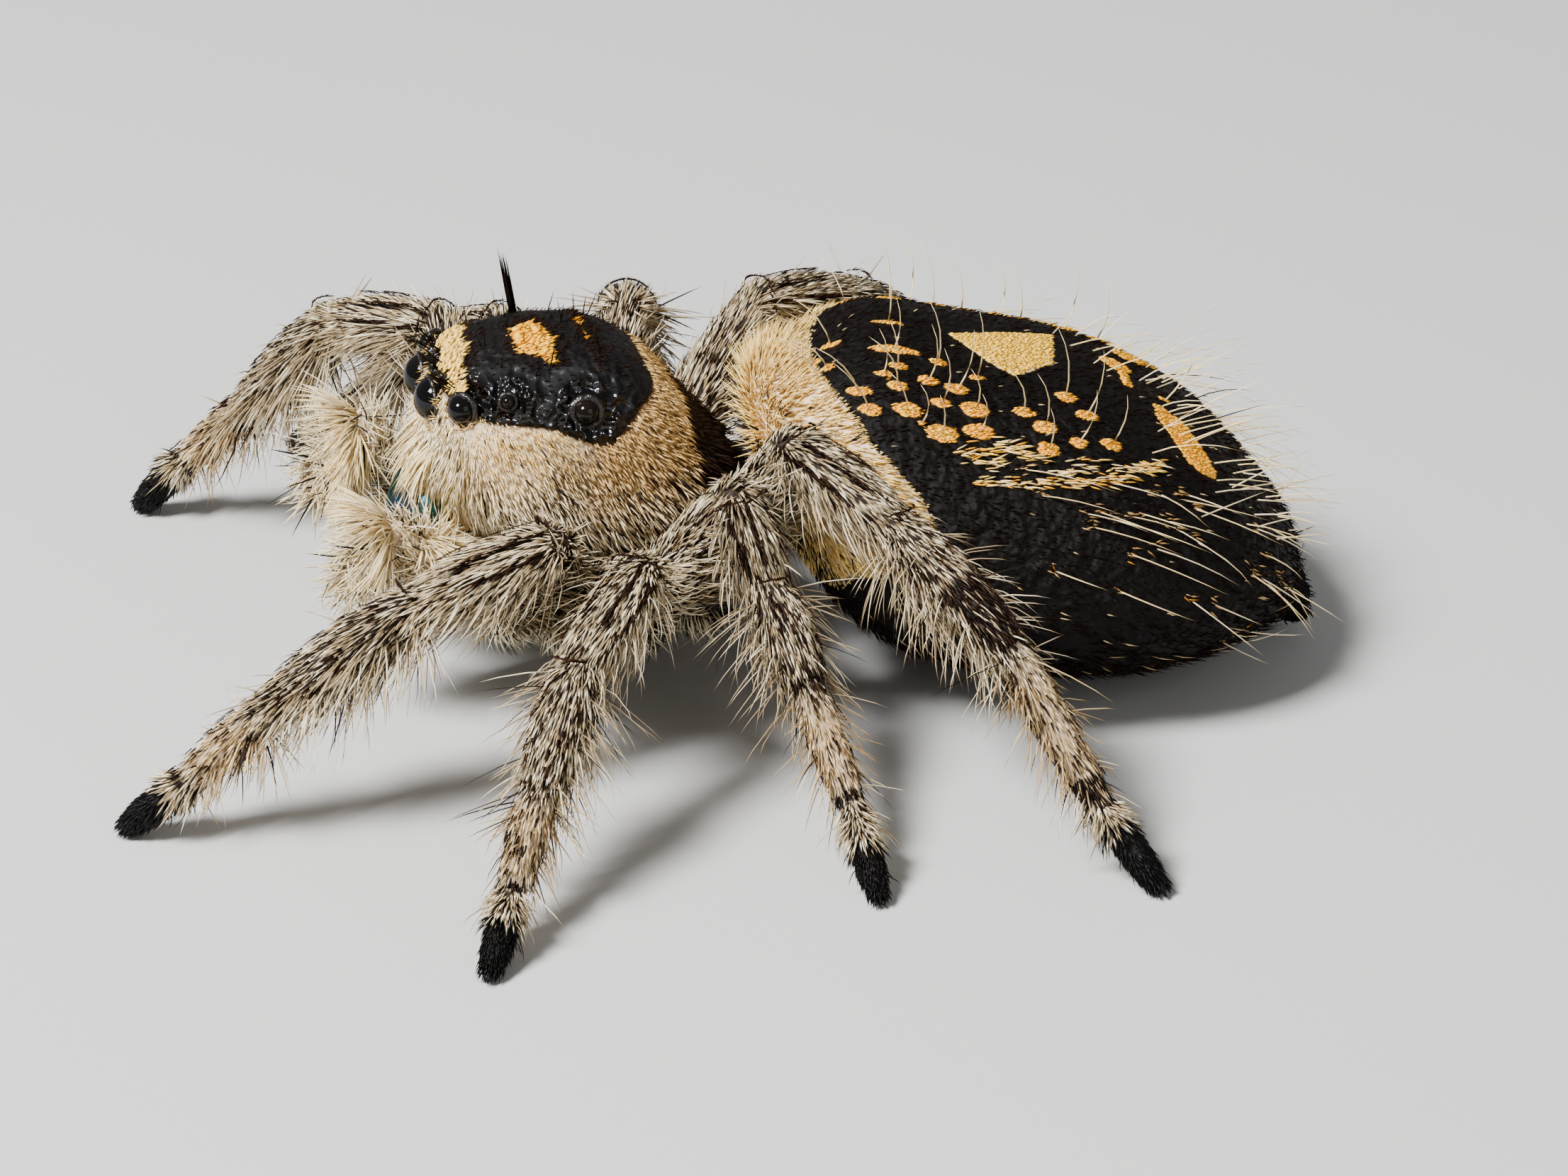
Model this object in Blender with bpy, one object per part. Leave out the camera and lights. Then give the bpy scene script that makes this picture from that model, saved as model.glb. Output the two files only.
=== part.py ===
# A regal jumping spider, life size, standing on the floor with its front legs stretched out.
# It faces -Y, its left side is +X and the floor is z = 0. Sizes are in millimetres and are
# turned into metres when a finished mesh is stored. They are measured from the waist, and the
# head looks straight along -Y, so that x = 0 is its middle.

import math
import random

import bmesh
import bpy
from mathutils import Matrix, Vector
from mathutils.bvhtree import BVHTree

MM = 0.001
SEED = 11

# Where the waist stands in the model's frame, so that the box around the spider is centred.
WAIST_PLACE = (-0.06, 0.61)

# Gaps between nodes: at the joints of the body, and round an eye in its socket.
JOINT_GAP = 0.12
EYE_GAP = 0.05
LOCK_CLEARANCE = 0.12
FLOOR_CLEARANCE = 0.15

# Head and breast: place along the body, half width, top and bottom of the box that holds it.
CARAPACE = (
    (-4.61, 1.45, 5.00, 2.74),
    (-4.20, 1.50, 5.00, 2.71),
    (-3.60, 1.60, 5.00, 2.42),
    (-2.65, 1.74, 4.97, 2.25),
    (-1.80, 1.80, 4.66, 2.16),
    (-1.00, 1.80, 3.90, 2.13),
    (-0.45, 1.50, 3.35, 2.15),
)
CARAPACE_FRONT_BLUNT = 3.4
CARAPACE_REAR_BLUNT = 2.4
CARAPACE_SECTION = 3.1
CARAPACE_TAPER = 0.18
STERNUM_CENTRE = (0.0, -2.55, 1.85)
STERNUM_HALF = (1.0, 1.75, 0.50)

# Abdomen: the same along its own axis, from the waist back.
ABDOMEN = (
    (-0.42, 2.35, 4.70, 3.00),
    (0.30, 2.85, 4.88, 1.20),
    (1.10, 3.10, 4.92, 0.50),
    (2.35, 3.25, 4.50, 0.22),
    (4.05, 3.35, 4.05, 0.12),
    (5.60, 3.20, 3.42, 0.12),
    (6.40, 3.08, 2.80, 0.15),
    (6.95, 2.90, 2.45, 0.22),
)
ABDOMEN_START = (0.05, 0.10)
ABDOMEN_TURN = -11.0
ABDOMEN_FRONT_BLUNT = 2.7
ABDOMEN_REAR_BLUNT = 2.5
ABDOMEN_SECTION = 2.15

PEDICEL = ((0.0, -0.33, 2.78), (0.02, -0.02, 2.86))
PEDICEL_RADIUS = 0.27

# Eyes: name, sideways, along, height, radius, sides, rings.
EYES = (
    ("anterior_median", 0.36, -4.40, 4.28, 0.31, 12, 8),
    ("anterior_lateral", 1.02, -4.21, 4.40, 0.18, 10, 6),
    ("posterior_median", 1.20, -3.65, 4.52, 0.09, 8, 5),
    ("posterior_lateral", 1.37, -2.68, 4.35, 0.17, 10, 6),
)

CHELICERA_TOP = (0.42, -4.50, 2.92)
CHELICERA_TIP = (0.36, -4.78, 1.50)
CHELICERA_RADII = ((0.0, 0.36), (0.3, 0.40), (0.7, 0.36), (1.0, 0.24))

# Palps: root, elbow and tip on the left side, and how far the right one is lifted.
PALP_ROOT = (1.06, -4.42, 2.10)
PALP_ELBOW = (1.18, -5.18, 2.85)
PALP_TIP = (0.84, -5.75, 1.95)
PALP_LIFT = {"left": 0.0, "right": 0.45}
PALP_UPPER_RADII = ((0.0, 0.24), (0.4, 0.32), (1.0, 0.31))
PALP_TARSUS_RADII = ((0.0, 0.31), (0.4, 0.37), (0.8, 0.32), (1.0, 0.20))

SPINNERET_LENGTH = 0.24
SPINNERET_RADIUS = 0.22
SPINNERET_HEIGHT = 0.62

# Legs: where each one leaves the breast, on the left side.
LEG_ROOTS = {
    1: (1.45, -3.75, 1.75),
    2: (1.90, -3.00, 1.70),
    3: (1.90, -2.10, 1.70),
    4: (1.65, -1.25, 1.70),
}
COXA_INNER = 0.45
COXA_RADII = ((0.0, 0.36), (0.6, 0.42), (1.0, 0.38))
SEGMENTS = ("femur", "patella", "tibia", "metatarsus", "tarsus")
LEG_LENGTHS = {
    1: (2.40, 1.80, 2.30, 1.45, 1.00),
    2: (2.30, 1.65, 1.65, 1.40, 1.05),
    3: (2.50, 1.22, 1.42, 1.85, 1.10),
    4: (2.85, 1.65, 2.20, 2.30, 1.15),
}
# Heading (0 forward, 90 outward, 180 back) and pitch of each segment, in degrees.
LEG_POSES = {
    ("left", 1): ((99, 44), (7, -15), (2, -31), (-8, -42), (-18, -40)),
    ("left", 2): ((107, 39), (47, -22), (57, -37), (58, -38), (62, -33)),
    ("left", 3): ((132, 55), (121, -62), (101, -36), (99, -34), (94, -39)),
    ("left", 4): ((130, 61), (132, -23), (123, -28), (121, -45), (126, -41)),
    ("right", 1): ((88, 60), (49, -9), (45, -46), (33, -44), (27, -56)),
    ("right", 2): ((98, 48), (58, -24), (60, -40), (60, -44), (62, -38)),
    ("right", 3): ((128, 54), (104, -30), (100, -50), (98, -46), (98, -38)),
    ("right", 4): ((150, 46), (156, -10), (142, -36), (132, -50), (128, -42)),
}
SEGMENT_RADII = {
    "femur": ((0.0, 0.34), (0.25, 0.46), (0.6, 0.47), (1.0, 0.38)),
    "patella": ((0.0, 0.38), (0.45, 0.44), (1.0, 0.36)),
    "tibia": ((0.0, 0.36), (0.4, 0.42), (1.0, 0.33)),
    "metatarsus": ((0.0, 0.30), (0.5, 0.29), (1.0, 0.24)),
    "tarsus": ((0.0, 0.23), (0.6, 0.24), (1.0, 0.21)),
}
LEG_THICKNESS = {1: 1.05, 2: 0.98, 3: 0.95, 4: 1.0}
LEG_SIDES = 8
TUBE_CUTS = (0.14, 0.5, 0.86)
FOOT_HEIGHT = 0.11
MITRE_REACH = 0.50

# Locks of the coat: width and thickness at the root, and how deep the root is sunk.
LOCK_WIDTH = 0.52
LOCK_THICKNESS = 0.44
LOCK_SINK = 0.30
LOCK_RINGS = ((0.0, 0.90, 1.0), (0.38, 1.0, 0.9), (0.74, 0.66, 0.55))

# Locks on the head: places across the moustache, and along and up its sides and its rear.
MOUSTACHE_LOCKS = (-1.0, -0.6, -0.2, 0.2, 0.6, 1.0)
MOUSTACHE_WIDTH = 0.38
HEAD_SIDE_LOCKS = (
    (-4.1, 3.6), (-3.5, 3.2), (-3.3, 3.85), (-2.8, 3.3), (-2.4, 3.85), (-2.0, 3.25), (-1.6, 3.6),
)
HEAD_REAR_LOCKS = ((-1.1, 3.6), (-0.8, 3.3))
BRISTLE_ROOT = (-0.95, -3.20, 5.2)
BRISTLE_LENGTH = 0.95
BRISTLE_WIDTH = 0.40

# Rings of locks on the abdomen: place along it, how far out the spots lie, how many, length.
ABDOMEN_LOCKS = (
    (1.0, 3.8, 15, 1.0),
    (2.3, 4.2, 15, 1.15),
    (3.6, 4.4, 16, 1.2),
    (4.8, 4.3, 15, 1.2),
    (5.9, 4.0, 14, 1.15),
    (6.7, 3.2, 9, 1.05),
)
ABDOMEN_BARE_BACK = (0.5, 5.5)
ABDOMEN_LEAN = (0.66, 0.92)
ABDOMEN_LOCK_WIDTH = 0.52

COLOURS = {
    "coat": (0.62, 0.56, 0.44),
    "black_coat": (0.03, 0.025, 0.02),
    "cap": (0.04, 0.035, 0.03),
    "eye": (0.01, 0.01, 0.012),
    "chelicera": (0.02, 0.06, 0.09),
    "foot": (0.06, 0.05, 0.045),
}


def clear_scene():
    for old in list(bpy.data.objects):
        bpy.data.objects.remove(old)


def make_material(name, colour, roughness, metallic=0.0):
    material = bpy.data.materials.new(name)
    material.use_nodes = True
    shader = material.node_tree.nodes["Principled BSDF"]
    shader.inputs["Base Color"].default_value = (*colour, 1.0)
    shader.inputs["Roughness"].default_value = roughness
    shader.inputs["Metallic"].default_value = metallic
    return material


def between(stations, t):
    """The values at t of a table whose rows start with a place, on a smooth curve through its rows."""
    count = len(stations)
    i = 0
    while i < count - 2 and t > stations[i + 1][0]:
        i += 1
    a, b = stations[i], stations[i + 1]
    before, after = stations[max(i - 1, 0)], stations[min(i + 2, count - 1)]
    span = b[0] - a[0]
    u = min(max((t - a[0]) / span, 0.0), 1.0)
    values = []
    for k in range(1, len(a)):
        slope_a = (b[k] - before[k]) / (b[0] - before[0]) * span
        slope_b = (after[k] - a[k]) / (after[0] - a[0]) * span
        values.append(
            (2 * u**3 - 3 * u**2 + 1) * a[k]
            + (u**3 - 2 * u**2 + u) * slope_a
            + (3 * u**2 - 2 * u**3) * b[k]
            + (u**3 - u**2) * slope_b
        )
    return values


def power(value, exponent):
    return math.copysign(abs(value) ** exponent, value)


def face_outward(bm):
    """Turns every face of a closed mesh outward."""
    bmesh.ops.recalc_face_normals(bm, faces=bm.faces)
    if bm.calc_volume(signed=True) < 0:
        bmesh.ops.reverse_faces(bm, faces=bm.faces)


def body_ball(stations, front_blunt, rear_blunt, section, taper, sides, rings):
    """A closed ball drawn out along Y and given the stations' widths and heights."""
    bm = bmesh.new()
    bmesh.ops.create_uvsphere(bm, u_segments=sides, v_segments=rings, radius=1.0)
    first, last = stations[0][0], stations[-1][0]
    middle = (first + last) / 2
    half = (last - first) / 2
    for vert in bm.verts:
        around = math.atan2(vert.co.y, vert.co.x)
        along = vert.co.z
        across = math.sqrt(max(0.0, 1.0 - along**2))
        blunt = rear_blunt if along > 0 else front_blunt
        y = middle + half * power(along, 2 / blunt)
        ring = across ** (2 / blunt)
        width, top, bottom = between(stations, y)
        side = power(math.cos(around), 2 / section) * ring
        rise = power(math.sin(around), 2 / section) * ring
        centre = (top + bottom) / 2
        vert.co = Vector((width * side * (1 - taper * rise), y, centre + (top - bottom) / 2 * rise))
    face_outward(bm)
    return bm


def plane_cut(bm, point, normal):
    """Takes away what lies ahead of a plane and closes the cut with a flat face."""
    geometry = bm.verts[:] + bm.edges[:] + bm.faces[:]
    cut = bmesh.ops.bisect_plane(
        bm, geom=geometry, dist=1e-5, plane_co=point, plane_no=normal, clear_outer=True
    )
    edges = [item for item in cut["geom_cut"] if isinstance(item, bmesh.types.BMEdge)]
    if edges:
        bmesh.ops.holes_fill(bm, edges=edges)


def limb_axes(start, end):
    """Length, direction, sideways and upward vectors of a limb piece from start to end."""
    run = end - start
    direction = run.normalized()
    side = direction.cross(Vector((0, 0, 1)))
    side = side.normalized() if side.length > 0.05 else Vector((1, 0, 0))
    return run.length, direction, side, side.cross(direction).normalized()


def tube(start, end, radii, sides=LEG_SIDES, flatness=1.0, reach=(0.35, 0.35), round_end=False):
    """A closed tube from start to end that reaches a little past both, ready to be mitred."""
    length, direction, side, up = limb_axes(start, end)
    bm = bmesh.new()
    bmesh.ops.create_cone(
        bm, cap_ends=True, cap_tris=False, segments=sides, radius1=1.0, radius2=1.0, depth=1.0
    )
    bmesh.ops.translate(bm, verts=bm.verts, vec=(0, 0, 0.5))
    for cut in TUBE_CUTS:
        geometry = bm.verts[:] + bm.edges[:] + bm.faces[:]
        bmesh.ops.bisect_plane(bm, geom=geometry, dist=1e-5, plane_co=(0, 0, cut), plane_no=(0, 0, 1))
    span = length + reach[0] + reach[1]
    for vert in bm.verts:
        t = (vert.co.z * span - reach[0]) / length
        radius = between(radii, min(max(t, 0.0), 1.0))[0]
        if round_end and vert.co.z > 0.99:
            radius *= 0.62
        offset = side * (vert.co.x * radius * flatness) + up * (vert.co.y * radius / flatness)
        vert.co = start + direction * (t * length) + offset
    face_outward(bm)
    return bm


def leg_points(side, number):
    """Root, knee, the other joints and tip of one leg; the foot always ends at one height."""
    sign = 1 if side == "left" else -1
    x, y, z = LEG_ROOTS[number]
    points = [Vector((sign * x, y, z))]
    lengths = LEG_LENGTHS[number]
    for i, (heading, pitch) in enumerate(LEG_POSES[(side, number)]):
        pitch = math.radians(pitch)
        if i == len(lengths) - 1:
            drop = min(max((points[-1].z - FOOT_HEIGHT) / lengths[i], -0.98), 0.98)
            pitch = -math.asin(drop)
        turn = math.radians(heading)
        flat = math.cos(pitch) * lengths[i]
        step = Vector((sign * math.sin(turn) * flat, -math.cos(turn) * flat, math.sin(pitch) * lengths[i]))
        points.append(points[-1] + step)
    return points


def mitre_planes(points, first_direction):
    """One plane normal for each joint, half way between the pieces that meet there."""
    directions = [first_direction]
    directions += [(b - a).normalized() for a, b in zip(points, points[1:])]
    return [(a + b).normalized() for a, b in zip(directions, directions[1:])]


def coxa_direction(side, number):
    root = leg_points(side, number)[0]
    inner = Vector((root.x * COXA_INNER, root.y * 0.75 - 0.62, root.z - 0.05))
    return inner, (root - inner).normalized()


def leg_cores():
    """The bare closed piece of every leg segment, with the numbers that its locks need."""
    cores = {}
    for (side, number), _ in LEG_POSES.items():
        points = leg_points(side, number)
        inner, lead = coxa_direction(side, number)
        normals = mitre_planes(points, lead)
        thick = LEG_THICKNESS[number]
        for i, segment in enumerate(SEGMENTS):
            start, end = points[i], points[i + 1]
            radii = tuple((t, r * thick) for t, r in SEGMENT_RADII[segment])
            is_foot = segment == "tarsus"
            reach = (MITRE_REACH, 0.10 if is_foot else MITRE_REACH)
            bm = tube(start, end, radii, flatness=0.95, reach=reach, round_end=is_foot)
            plane_cut(bm, start + normals[i] * (JOINT_GAP / 2), -normals[i])
            if is_foot:
                plane_cut(bm, Vector((0, 0, 0)), Vector((0, 0, -1)))
            else:
                plane_cut(bm, end - normals[i + 1] * (JOINT_GAP / 2), normals[i + 1])
            cores[f"leg{number}_{side}_{segment}"] = (bm, start, end, radii)
    return cores


def cephalothorax_core():
    return body_ball(
        CARAPACE, CARAPACE_FRONT_BLUNT, CARAPACE_REAR_BLUNT, CARAPACE_SECTION, CARAPACE_TAPER, 24, 16
    )


def cephalothorax_additions():
    """The breast plate under the head, and the coxae that carry the legs."""
    pieces = []
    bm = bmesh.new()
    bmesh.ops.create_uvsphere(bm, u_segments=14, v_segments=9, radius=1.0)
    bmesh.ops.scale(bm, verts=bm.verts, vec=STERNUM_HALF)
    bmesh.ops.translate(bm, verts=bm.verts, vec=STERNUM_CENTRE)
    pieces.append(bm)
    for side, number in LEG_POSES:
        points = leg_points(side, number)
        inner, lead = coxa_direction(side, number)
        normal = mitre_planes(points, lead)[0]
        bm = tube(inner, points[0], COXA_RADII, sides=8, reach=(0.1, 0.35))
        plane_cut(bm, points[0] - normal * (JOINT_GAP / 2), normal)
        pieces.append(bm)
    return pieces


def ball_at(place, radius, sides, rings):
    bm = bmesh.new()
    bmesh.ops.create_uvsphere(bm, u_segments=sides, v_segments=rings, radius=radius)
    bmesh.ops.translate(bm, verts=bm.verts, vec=place)
    return bm


def abdomen_place(bm):
    """Turns the abdomen about the waist and sets it behind the waist."""
    turn = Matrix.Rotation(math.radians(ABDOMEN_TURN), 3, "Z")
    bmesh.ops.rotate(bm, verts=bm.verts, cent=(0, 0, 0), matrix=turn)
    bmesh.ops.translate(bm, verts=bm.verts, vec=(*ABDOMEN_START, 0))


def abdomen_core():
    bm = body_ball(ABDOMEN, ABDOMEN_FRONT_BLUNT, ABDOMEN_REAR_BLUNT, ABDOMEN_SECTION, 0.0, 24, 16)
    abdomen_place(bm)
    return bm


def spinnerets_pieces():
    """Two pairs of short cones at the tip of the abdomen, and the base that joins them."""
    base = Vector((0, ABDOMEN[-1][0] + JOINT_GAP, SPINNERET_HEIGHT))
    pieces = []
    for sideways, lift in ((0.18, 0.12), (-0.18, 0.12), (0.18, -0.16), (-0.18, -0.16)):
        start = base + Vector((sideways, 0, lift))
        end = base + Vector((sideways * 1.5, SPINNERET_LENGTH, lift * 1.4 - 0.05))
        radii = ((0.0, SPINNERET_RADIUS), (1.0, SPINNERET_RADIUS * 0.55))
        bm = tube(start, end, radii, sides=8, reach=(0.0, 0.0))
        abdomen_place(bm)
        pieces.append(bm)
    return pieces


def chelicera_core(sign):
    start = Vector((sign * CHELICERA_TOP[0], CHELICERA_TOP[1], CHELICERA_TOP[2]))
    end = Vector((sign * CHELICERA_TIP[0], CHELICERA_TIP[1], CHELICERA_TIP[2]))
    bm = tube(start, end, CHELICERA_RADII, sides=10, reach=(0.0, 0.06), round_end=True)
    plane_cut(bm, Vector((sign * JOINT_GAP / 2, 0, 0)), Vector((-sign, 0, 0)))
    return bm


def palp_points(side):
    sign = 1 if side == "left" else -1
    lift = PALP_LIFT[side]
    root = Vector((sign * PALP_ROOT[0], PALP_ROOT[1], PALP_ROOT[2]))
    elbow = Vector((sign * PALP_ELBOW[0], PALP_ELBOW[1], PALP_ELBOW[2] + lift))
    tip = Vector((sign * PALP_TIP[0], PALP_TIP[1] - lift * 0.3, PALP_TIP[2] + lift * 1.2))
    return root, elbow, tip


def palp_cores(side):
    root, elbow, tip = palp_points(side)
    upper = tube(root, elbow, PALP_UPPER_RADII, sides=8, reach=(0.0, 0.3))
    lower = tube(elbow, tip, PALP_TARSUS_RADII, sides=8, reach=(0.3, 0.05), round_end=True)
    normal = ((elbow - root).normalized() + (tip - elbow).normalized()).normalized()
    plane_cut(upper, elbow - normal * (JOINT_GAP / 2), normal)
    plane_cut(lower, elbow + normal * (JOINT_GAP / 2), -normal)
    return (upper, root, elbow, PALP_UPPER_RADII), (lower, elbow, tip, PALP_TARSUS_RADII)


def pedicel_core():
    start, end = Vector(PEDICEL[0]), Vector(PEDICEL[1])
    return tube(start, end, ((0.0, PEDICEL_RADIUS), (1.0, PEDICEL_RADIUS)), sides=10, reach=(0.0, 0.0))


def lock_template():
    """A four-sided spike of unit height, cut into rings so that it can bend."""
    bm = bmesh.new()
    bmesh.ops.create_cone(
        bm, cap_ends=True, cap_tris=False, segments=4, radius1=1.0, radius2=0.0, depth=1.0
    )
    bmesh.ops.translate(bm, verts=bm.verts, vec=(0, 0, 0.5))
    for ring in LOCK_RINGS[1:]:
        geometry = bm.verts[:] + bm.edges[:] + bm.faces[:]
        bmesh.ops.bisect_plane(bm, geom=geometry, dist=1e-5, plane_co=(0, 0, ring[0]), plane_no=(0, 0, 1))
    for vert in bm.verts:
        if vert.co.z < 0.99:
            ring = min(LOCK_RINGS, key=lambda row: abs(row[0] - vert.co.z))
            flat = math.hypot(vert.co.x, vert.co.y)
            vert.co.x *= ring[1] / flat
            vert.co.y *= ring[2] / flat
    bmesh.ops.remove_doubles(bm, verts=bm.verts, dist=1e-5)
    face_outward(bm)
    return bm


def lock_line(root, normal, lie, length, lean):
    """Start, control and end point of a lock's bent middle line, from inside the surface outward."""
    rise = (normal * (1 - lean[0]) + lie * lean[0]).normalized()
    tip_way = (normal * (1 - lean[1]) + lie * lean[1]).normalized()
    start = root - normal * LOCK_SINK
    control = root + rise * (length * 0.45)
    return start, control, control + tip_way * (length * 0.55)


def on_line(line, u):
    start, control, end = line
    return start * (1 - u) ** 2 + control * (2 * u * (1 - u)) + end * u**2


def bent_lock(template, line, normal, width, thickness):
    bm = template.copy()
    for vert in bm.verts:
        u = vert.co.z
        middle = on_line(line, u)
        along = (on_line(line, min(u + 0.02, 1.0)) - on_line(line, max(u - 0.02, 0.0))).normalized()
        side = along.cross(normal)
        side = side.normalized() if side.length > 1e-3 else along.orthogonal().normalized()
        face = side.cross(along).normalized()
        vert.co = middle + side * (vert.co.x * width / 2) + face * (vert.co.y * thickness / 2)
    face_outward(bm)
    return bm


class Coat:
    """Sets locks on the nodes, and keeps each one clear of every other node, its locks and the floor."""

    def __init__(self, trees):
        self.trees = trees
        self.template = lock_template()
        self.taken = []
        self.locks = {}

    def is_clear(self, node, line, width):
        for u in (0.34, 0.5, 0.66, 0.83, 1.0):
            point = on_line(line, u)
            half = width / 2 * (1.0 if u < 0.5 else 1.15 - 0.95 * (u - 0.34) / 0.66)
            if point.z - half < FLOOR_CLEARANCE:
                return False
            for other, tree in self.trees.items():
                if other == node:
                    continue
                hit = tree.find_nearest(point, half + LOCK_CLEARANCE)
                if hit[0] is not None:
                    return False
            for other, spot, reach in self.taken:
                if other != node and (spot - point).length < half + reach + LOCK_CLEARANCE:
                    return False
        return True

    def add(self, node, root, normal, lie, length, lean=(0.35, 0.75), width=LOCK_WIDTH):
        for share in (1.0, 0.8, 0.62):
            line = lock_line(root, normal, lie, length * share, lean)
            if self.is_clear(node, line, width):
                bm = bent_lock(self.template, line, normal, width, width * LOCK_THICKNESS / LOCK_WIDTH)
                self.locks.setdefault(node, []).append(bm)
                for u in (0.34, 0.5, 0.66, 0.83, 1.0):
                    half = width / 2 * (1.0 if u < 0.5 else 1.15 - 0.95 * (u - 0.34) / 0.66)
                    self.taken.append((node, on_line(line, u), half))
                return True
        return False


# Rows of locks on a leg piece: place along it, angle round it from the top, length.
LEG_LOCKS = {
    "femur": ((0.35, 150, 0.8), (0.6, -150, 0.8), (0.75, 105, 0.7), (0.8, -100, 0.7), (0.55, 60, 0.5)),
    "patella": ((0.3, 110, 0.8), (0.35, -110, 0.8), (0.55, 170, 0.8), (0.7, 75, 0.6), (0.7, -75, 0.6)),
    "tibia": (
        (0.15, 95, 0.8), (0.15, -95, 0.8), (0.3, 150, 0.9), (0.4, -140, 0.9), (0.5, 100, 0.9),
        (0.55, -95, 0.9), (0.68, 165, 0.8), (0.78, 80, 0.7), (0.8, -80, 0.7),
    ),
    "metatarsus": ((0.25, 105, 0.6), (0.3, -105, 0.6), (0.6, 90, 0.5), (0.65, -90, 0.5)),
}


def limb_locks(coat, node, core, rows, draw, lean=(0.35, 0.7), width=LOCK_WIDTH):
    _, start, end, radii = core
    length, direction, side, up = limb_axes(start, end)
    for place, angle, reach in rows:
        t = place + draw.uniform(-0.03, 0.03)
        turn = math.radians(angle + draw.uniform(-8, 8))
        radial = up * math.cos(turn) + side * math.sin(turn)
        root = start + direction * (t * length) + radial * (between(radii, t)[0] * 0.94)
        coat.add(node, root, radial, direction, reach * draw.uniform(0.9, 1.1), lean, width)


def surface_locks(coat, node, tree, spots, draw, width=LOCK_WIDTH):
    """Locks at the points of a surface nearest to the given spots; each spot has a lie and a length."""
    for spot, lie, length, lean in spots:
        place, normal, _, _ = tree.find_nearest(Vector(spot))
        lie = Vector(lie) - normal * normal.dot(Vector(lie))
        coat.add(node, place, normal, lie.normalized(), length * draw.uniform(0.88, 1.12), lean, width)


def head_spots():
    """Where locks grow on the head: the cheeks, and the sides back to the waist."""
    spots = []
    for sign in (1, -1):
        for y, z in HEAD_SIDE_LOCKS:
            spots.append(((sign * 2.2, y, z), (0, 0.6, -1), 0.8, (0.55, 0.85)))
        for y, z in HEAD_REAR_LOCKS:
            spots.append(((sign * 1.6, y, z), (0, 1, -0.3), 0.7, (0.5, 0.8)))
    return spots


def moustache_spots():
    return [((x, -4.9, 3.75), (0, -0.9, -1), 0.8, (0.35, 0.7)) for x in MOUSTACHE_LOCKS]


def bristle_spots():
    """The tuft of stiff bristles that stands up at the right of the cap."""
    return [(BRISTLE_ROOT, (-0.2, -0.3, 1), BRISTLE_LENGTH, (0.1, 0.3))]


def abdomen_spots():
    """Where locks grow on the abdomen: the pale band at its front, its flanks and its tail."""
    turn = math.radians(-ABDOMEN_TURN)
    ahead = Vector((math.sin(turn), math.cos(turn), 0))
    aside = Vector((math.cos(turn), -math.sin(turn), 0))
    origin = Vector((*ABDOMEN_START, 0))
    spots = []
    for along, reach, count, length in ABDOMEN_LOCKS:
        _, top, bottom = between(ABDOMEN, along)
        for i in range(count):
            angle = 2 * math.pi * (i + 0.5 * (count % 2)) / count
            height = math.cos(angle)
            is_bare_back = height > 0.7 and ABDOMEN_BARE_BACK[0] < along < ABDOMEN_BARE_BACK[1]
            is_under = height < -0.75 and along > ABDOMEN_BARE_BACK[0]
            if is_bare_back or is_under:
                continue
            middle = origin + ahead * along + Vector((0, 0, (top + bottom) / 2))
            spot = middle + aside * (reach * math.sin(angle)) + Vector((0, 0, reach * 0.7 * height))
            spots.append((spot, ahead - Vector((0, 0, 0.15)), length, ABDOMEN_LEAN))
    return spots


def make_object(name, bm, material):
    """A mesh object, still in millimetres."""
    mesh = bpy.data.meshes.new(name)
    bm.to_mesh(mesh)
    mesh.materials.append(material)
    obj = bpy.data.objects.new(name, mesh)
    bpy.context.scene.collection.objects.link(obj)
    return obj


def boolean(obj, pieces, operation):
    """Joins closed pieces to an object, or takes them from it, and applies the result."""
    helper = bpy.data.collections.new(obj.name + "_pieces")
    bpy.context.scene.collection.children.link(helper)
    for i, bm in enumerate(pieces):
        mesh = bpy.data.meshes.new(f"piece_{i}")
        bm.to_mesh(mesh)
        helper.objects.link(bpy.data.objects.new(f"piece_{i}", mesh))
    modifier = obj.modifiers.new("join", "BOOLEAN")
    modifier.operation = operation
    modifier.solver = "MANIFOLD"
    modifier.operand_type = "COLLECTION"
    modifier.collection = helper
    bpy.context.view_layer.update()
    graph = bpy.context.evaluated_depsgraph_get()
    joined = bpy.data.meshes.new_from_object(obj.evaluated_get(graph))
    obj.modifiers.clear()
    obj.data = joined
    for piece in list(helper.objects):
        bpy.data.objects.remove(piece)
    bpy.data.collections.remove(helper)


def keep_largest(mesh):
    """Keeps only the largest closed surface of a mesh."""
    bm = bmesh.new()
    bm.from_mesh(mesh)
    bmesh.ops.remove_doubles(bm, verts=bm.verts, dist=0.0005)
    bmesh.ops.dissolve_degenerate(bm, edges=bm.edges, dist=0.0005)
    bmesh.ops.triangulate(bm, faces=bm.faces)
    unseen = set(bm.verts)
    shells = []
    while unseen:
        stack = [unseen.pop()]
        shell = set(stack)
        while stack:
            for edge in stack.pop().link_edges:
                for vert in edge.verts:
                    if vert in unseen:
                        unseen.discard(vert)
                        shell.add(vert)
                        stack.append(vert)
        shells.append(shell)
    shells.sort(key=len, reverse=True)
    scraps = [vert for shell in shells[1:] for vert in shell]
    bmesh.ops.delete(bm, geom=scraps, context="VERTS")
    bmesh.ops.recalc_face_normals(bm, faces=bm.faces)
    bm.to_mesh(mesh)
    bm.free()


def finish(obj, collection):
    """Turns a finished object from millimetres about the waist into metres in the model's frame."""
    obj.data.transform(Matrix.Translation((*WAIST_PLACE, 0)))
    obj.data.transform(Matrix.Scale(MM, 4))
    obj.data.shade_smooth()
    obj.data.set_sharp_from_angle(angle=math.radians(45))
    bpy.context.scene.collection.objects.unlink(obj)
    collection.objects.link(obj)


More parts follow.
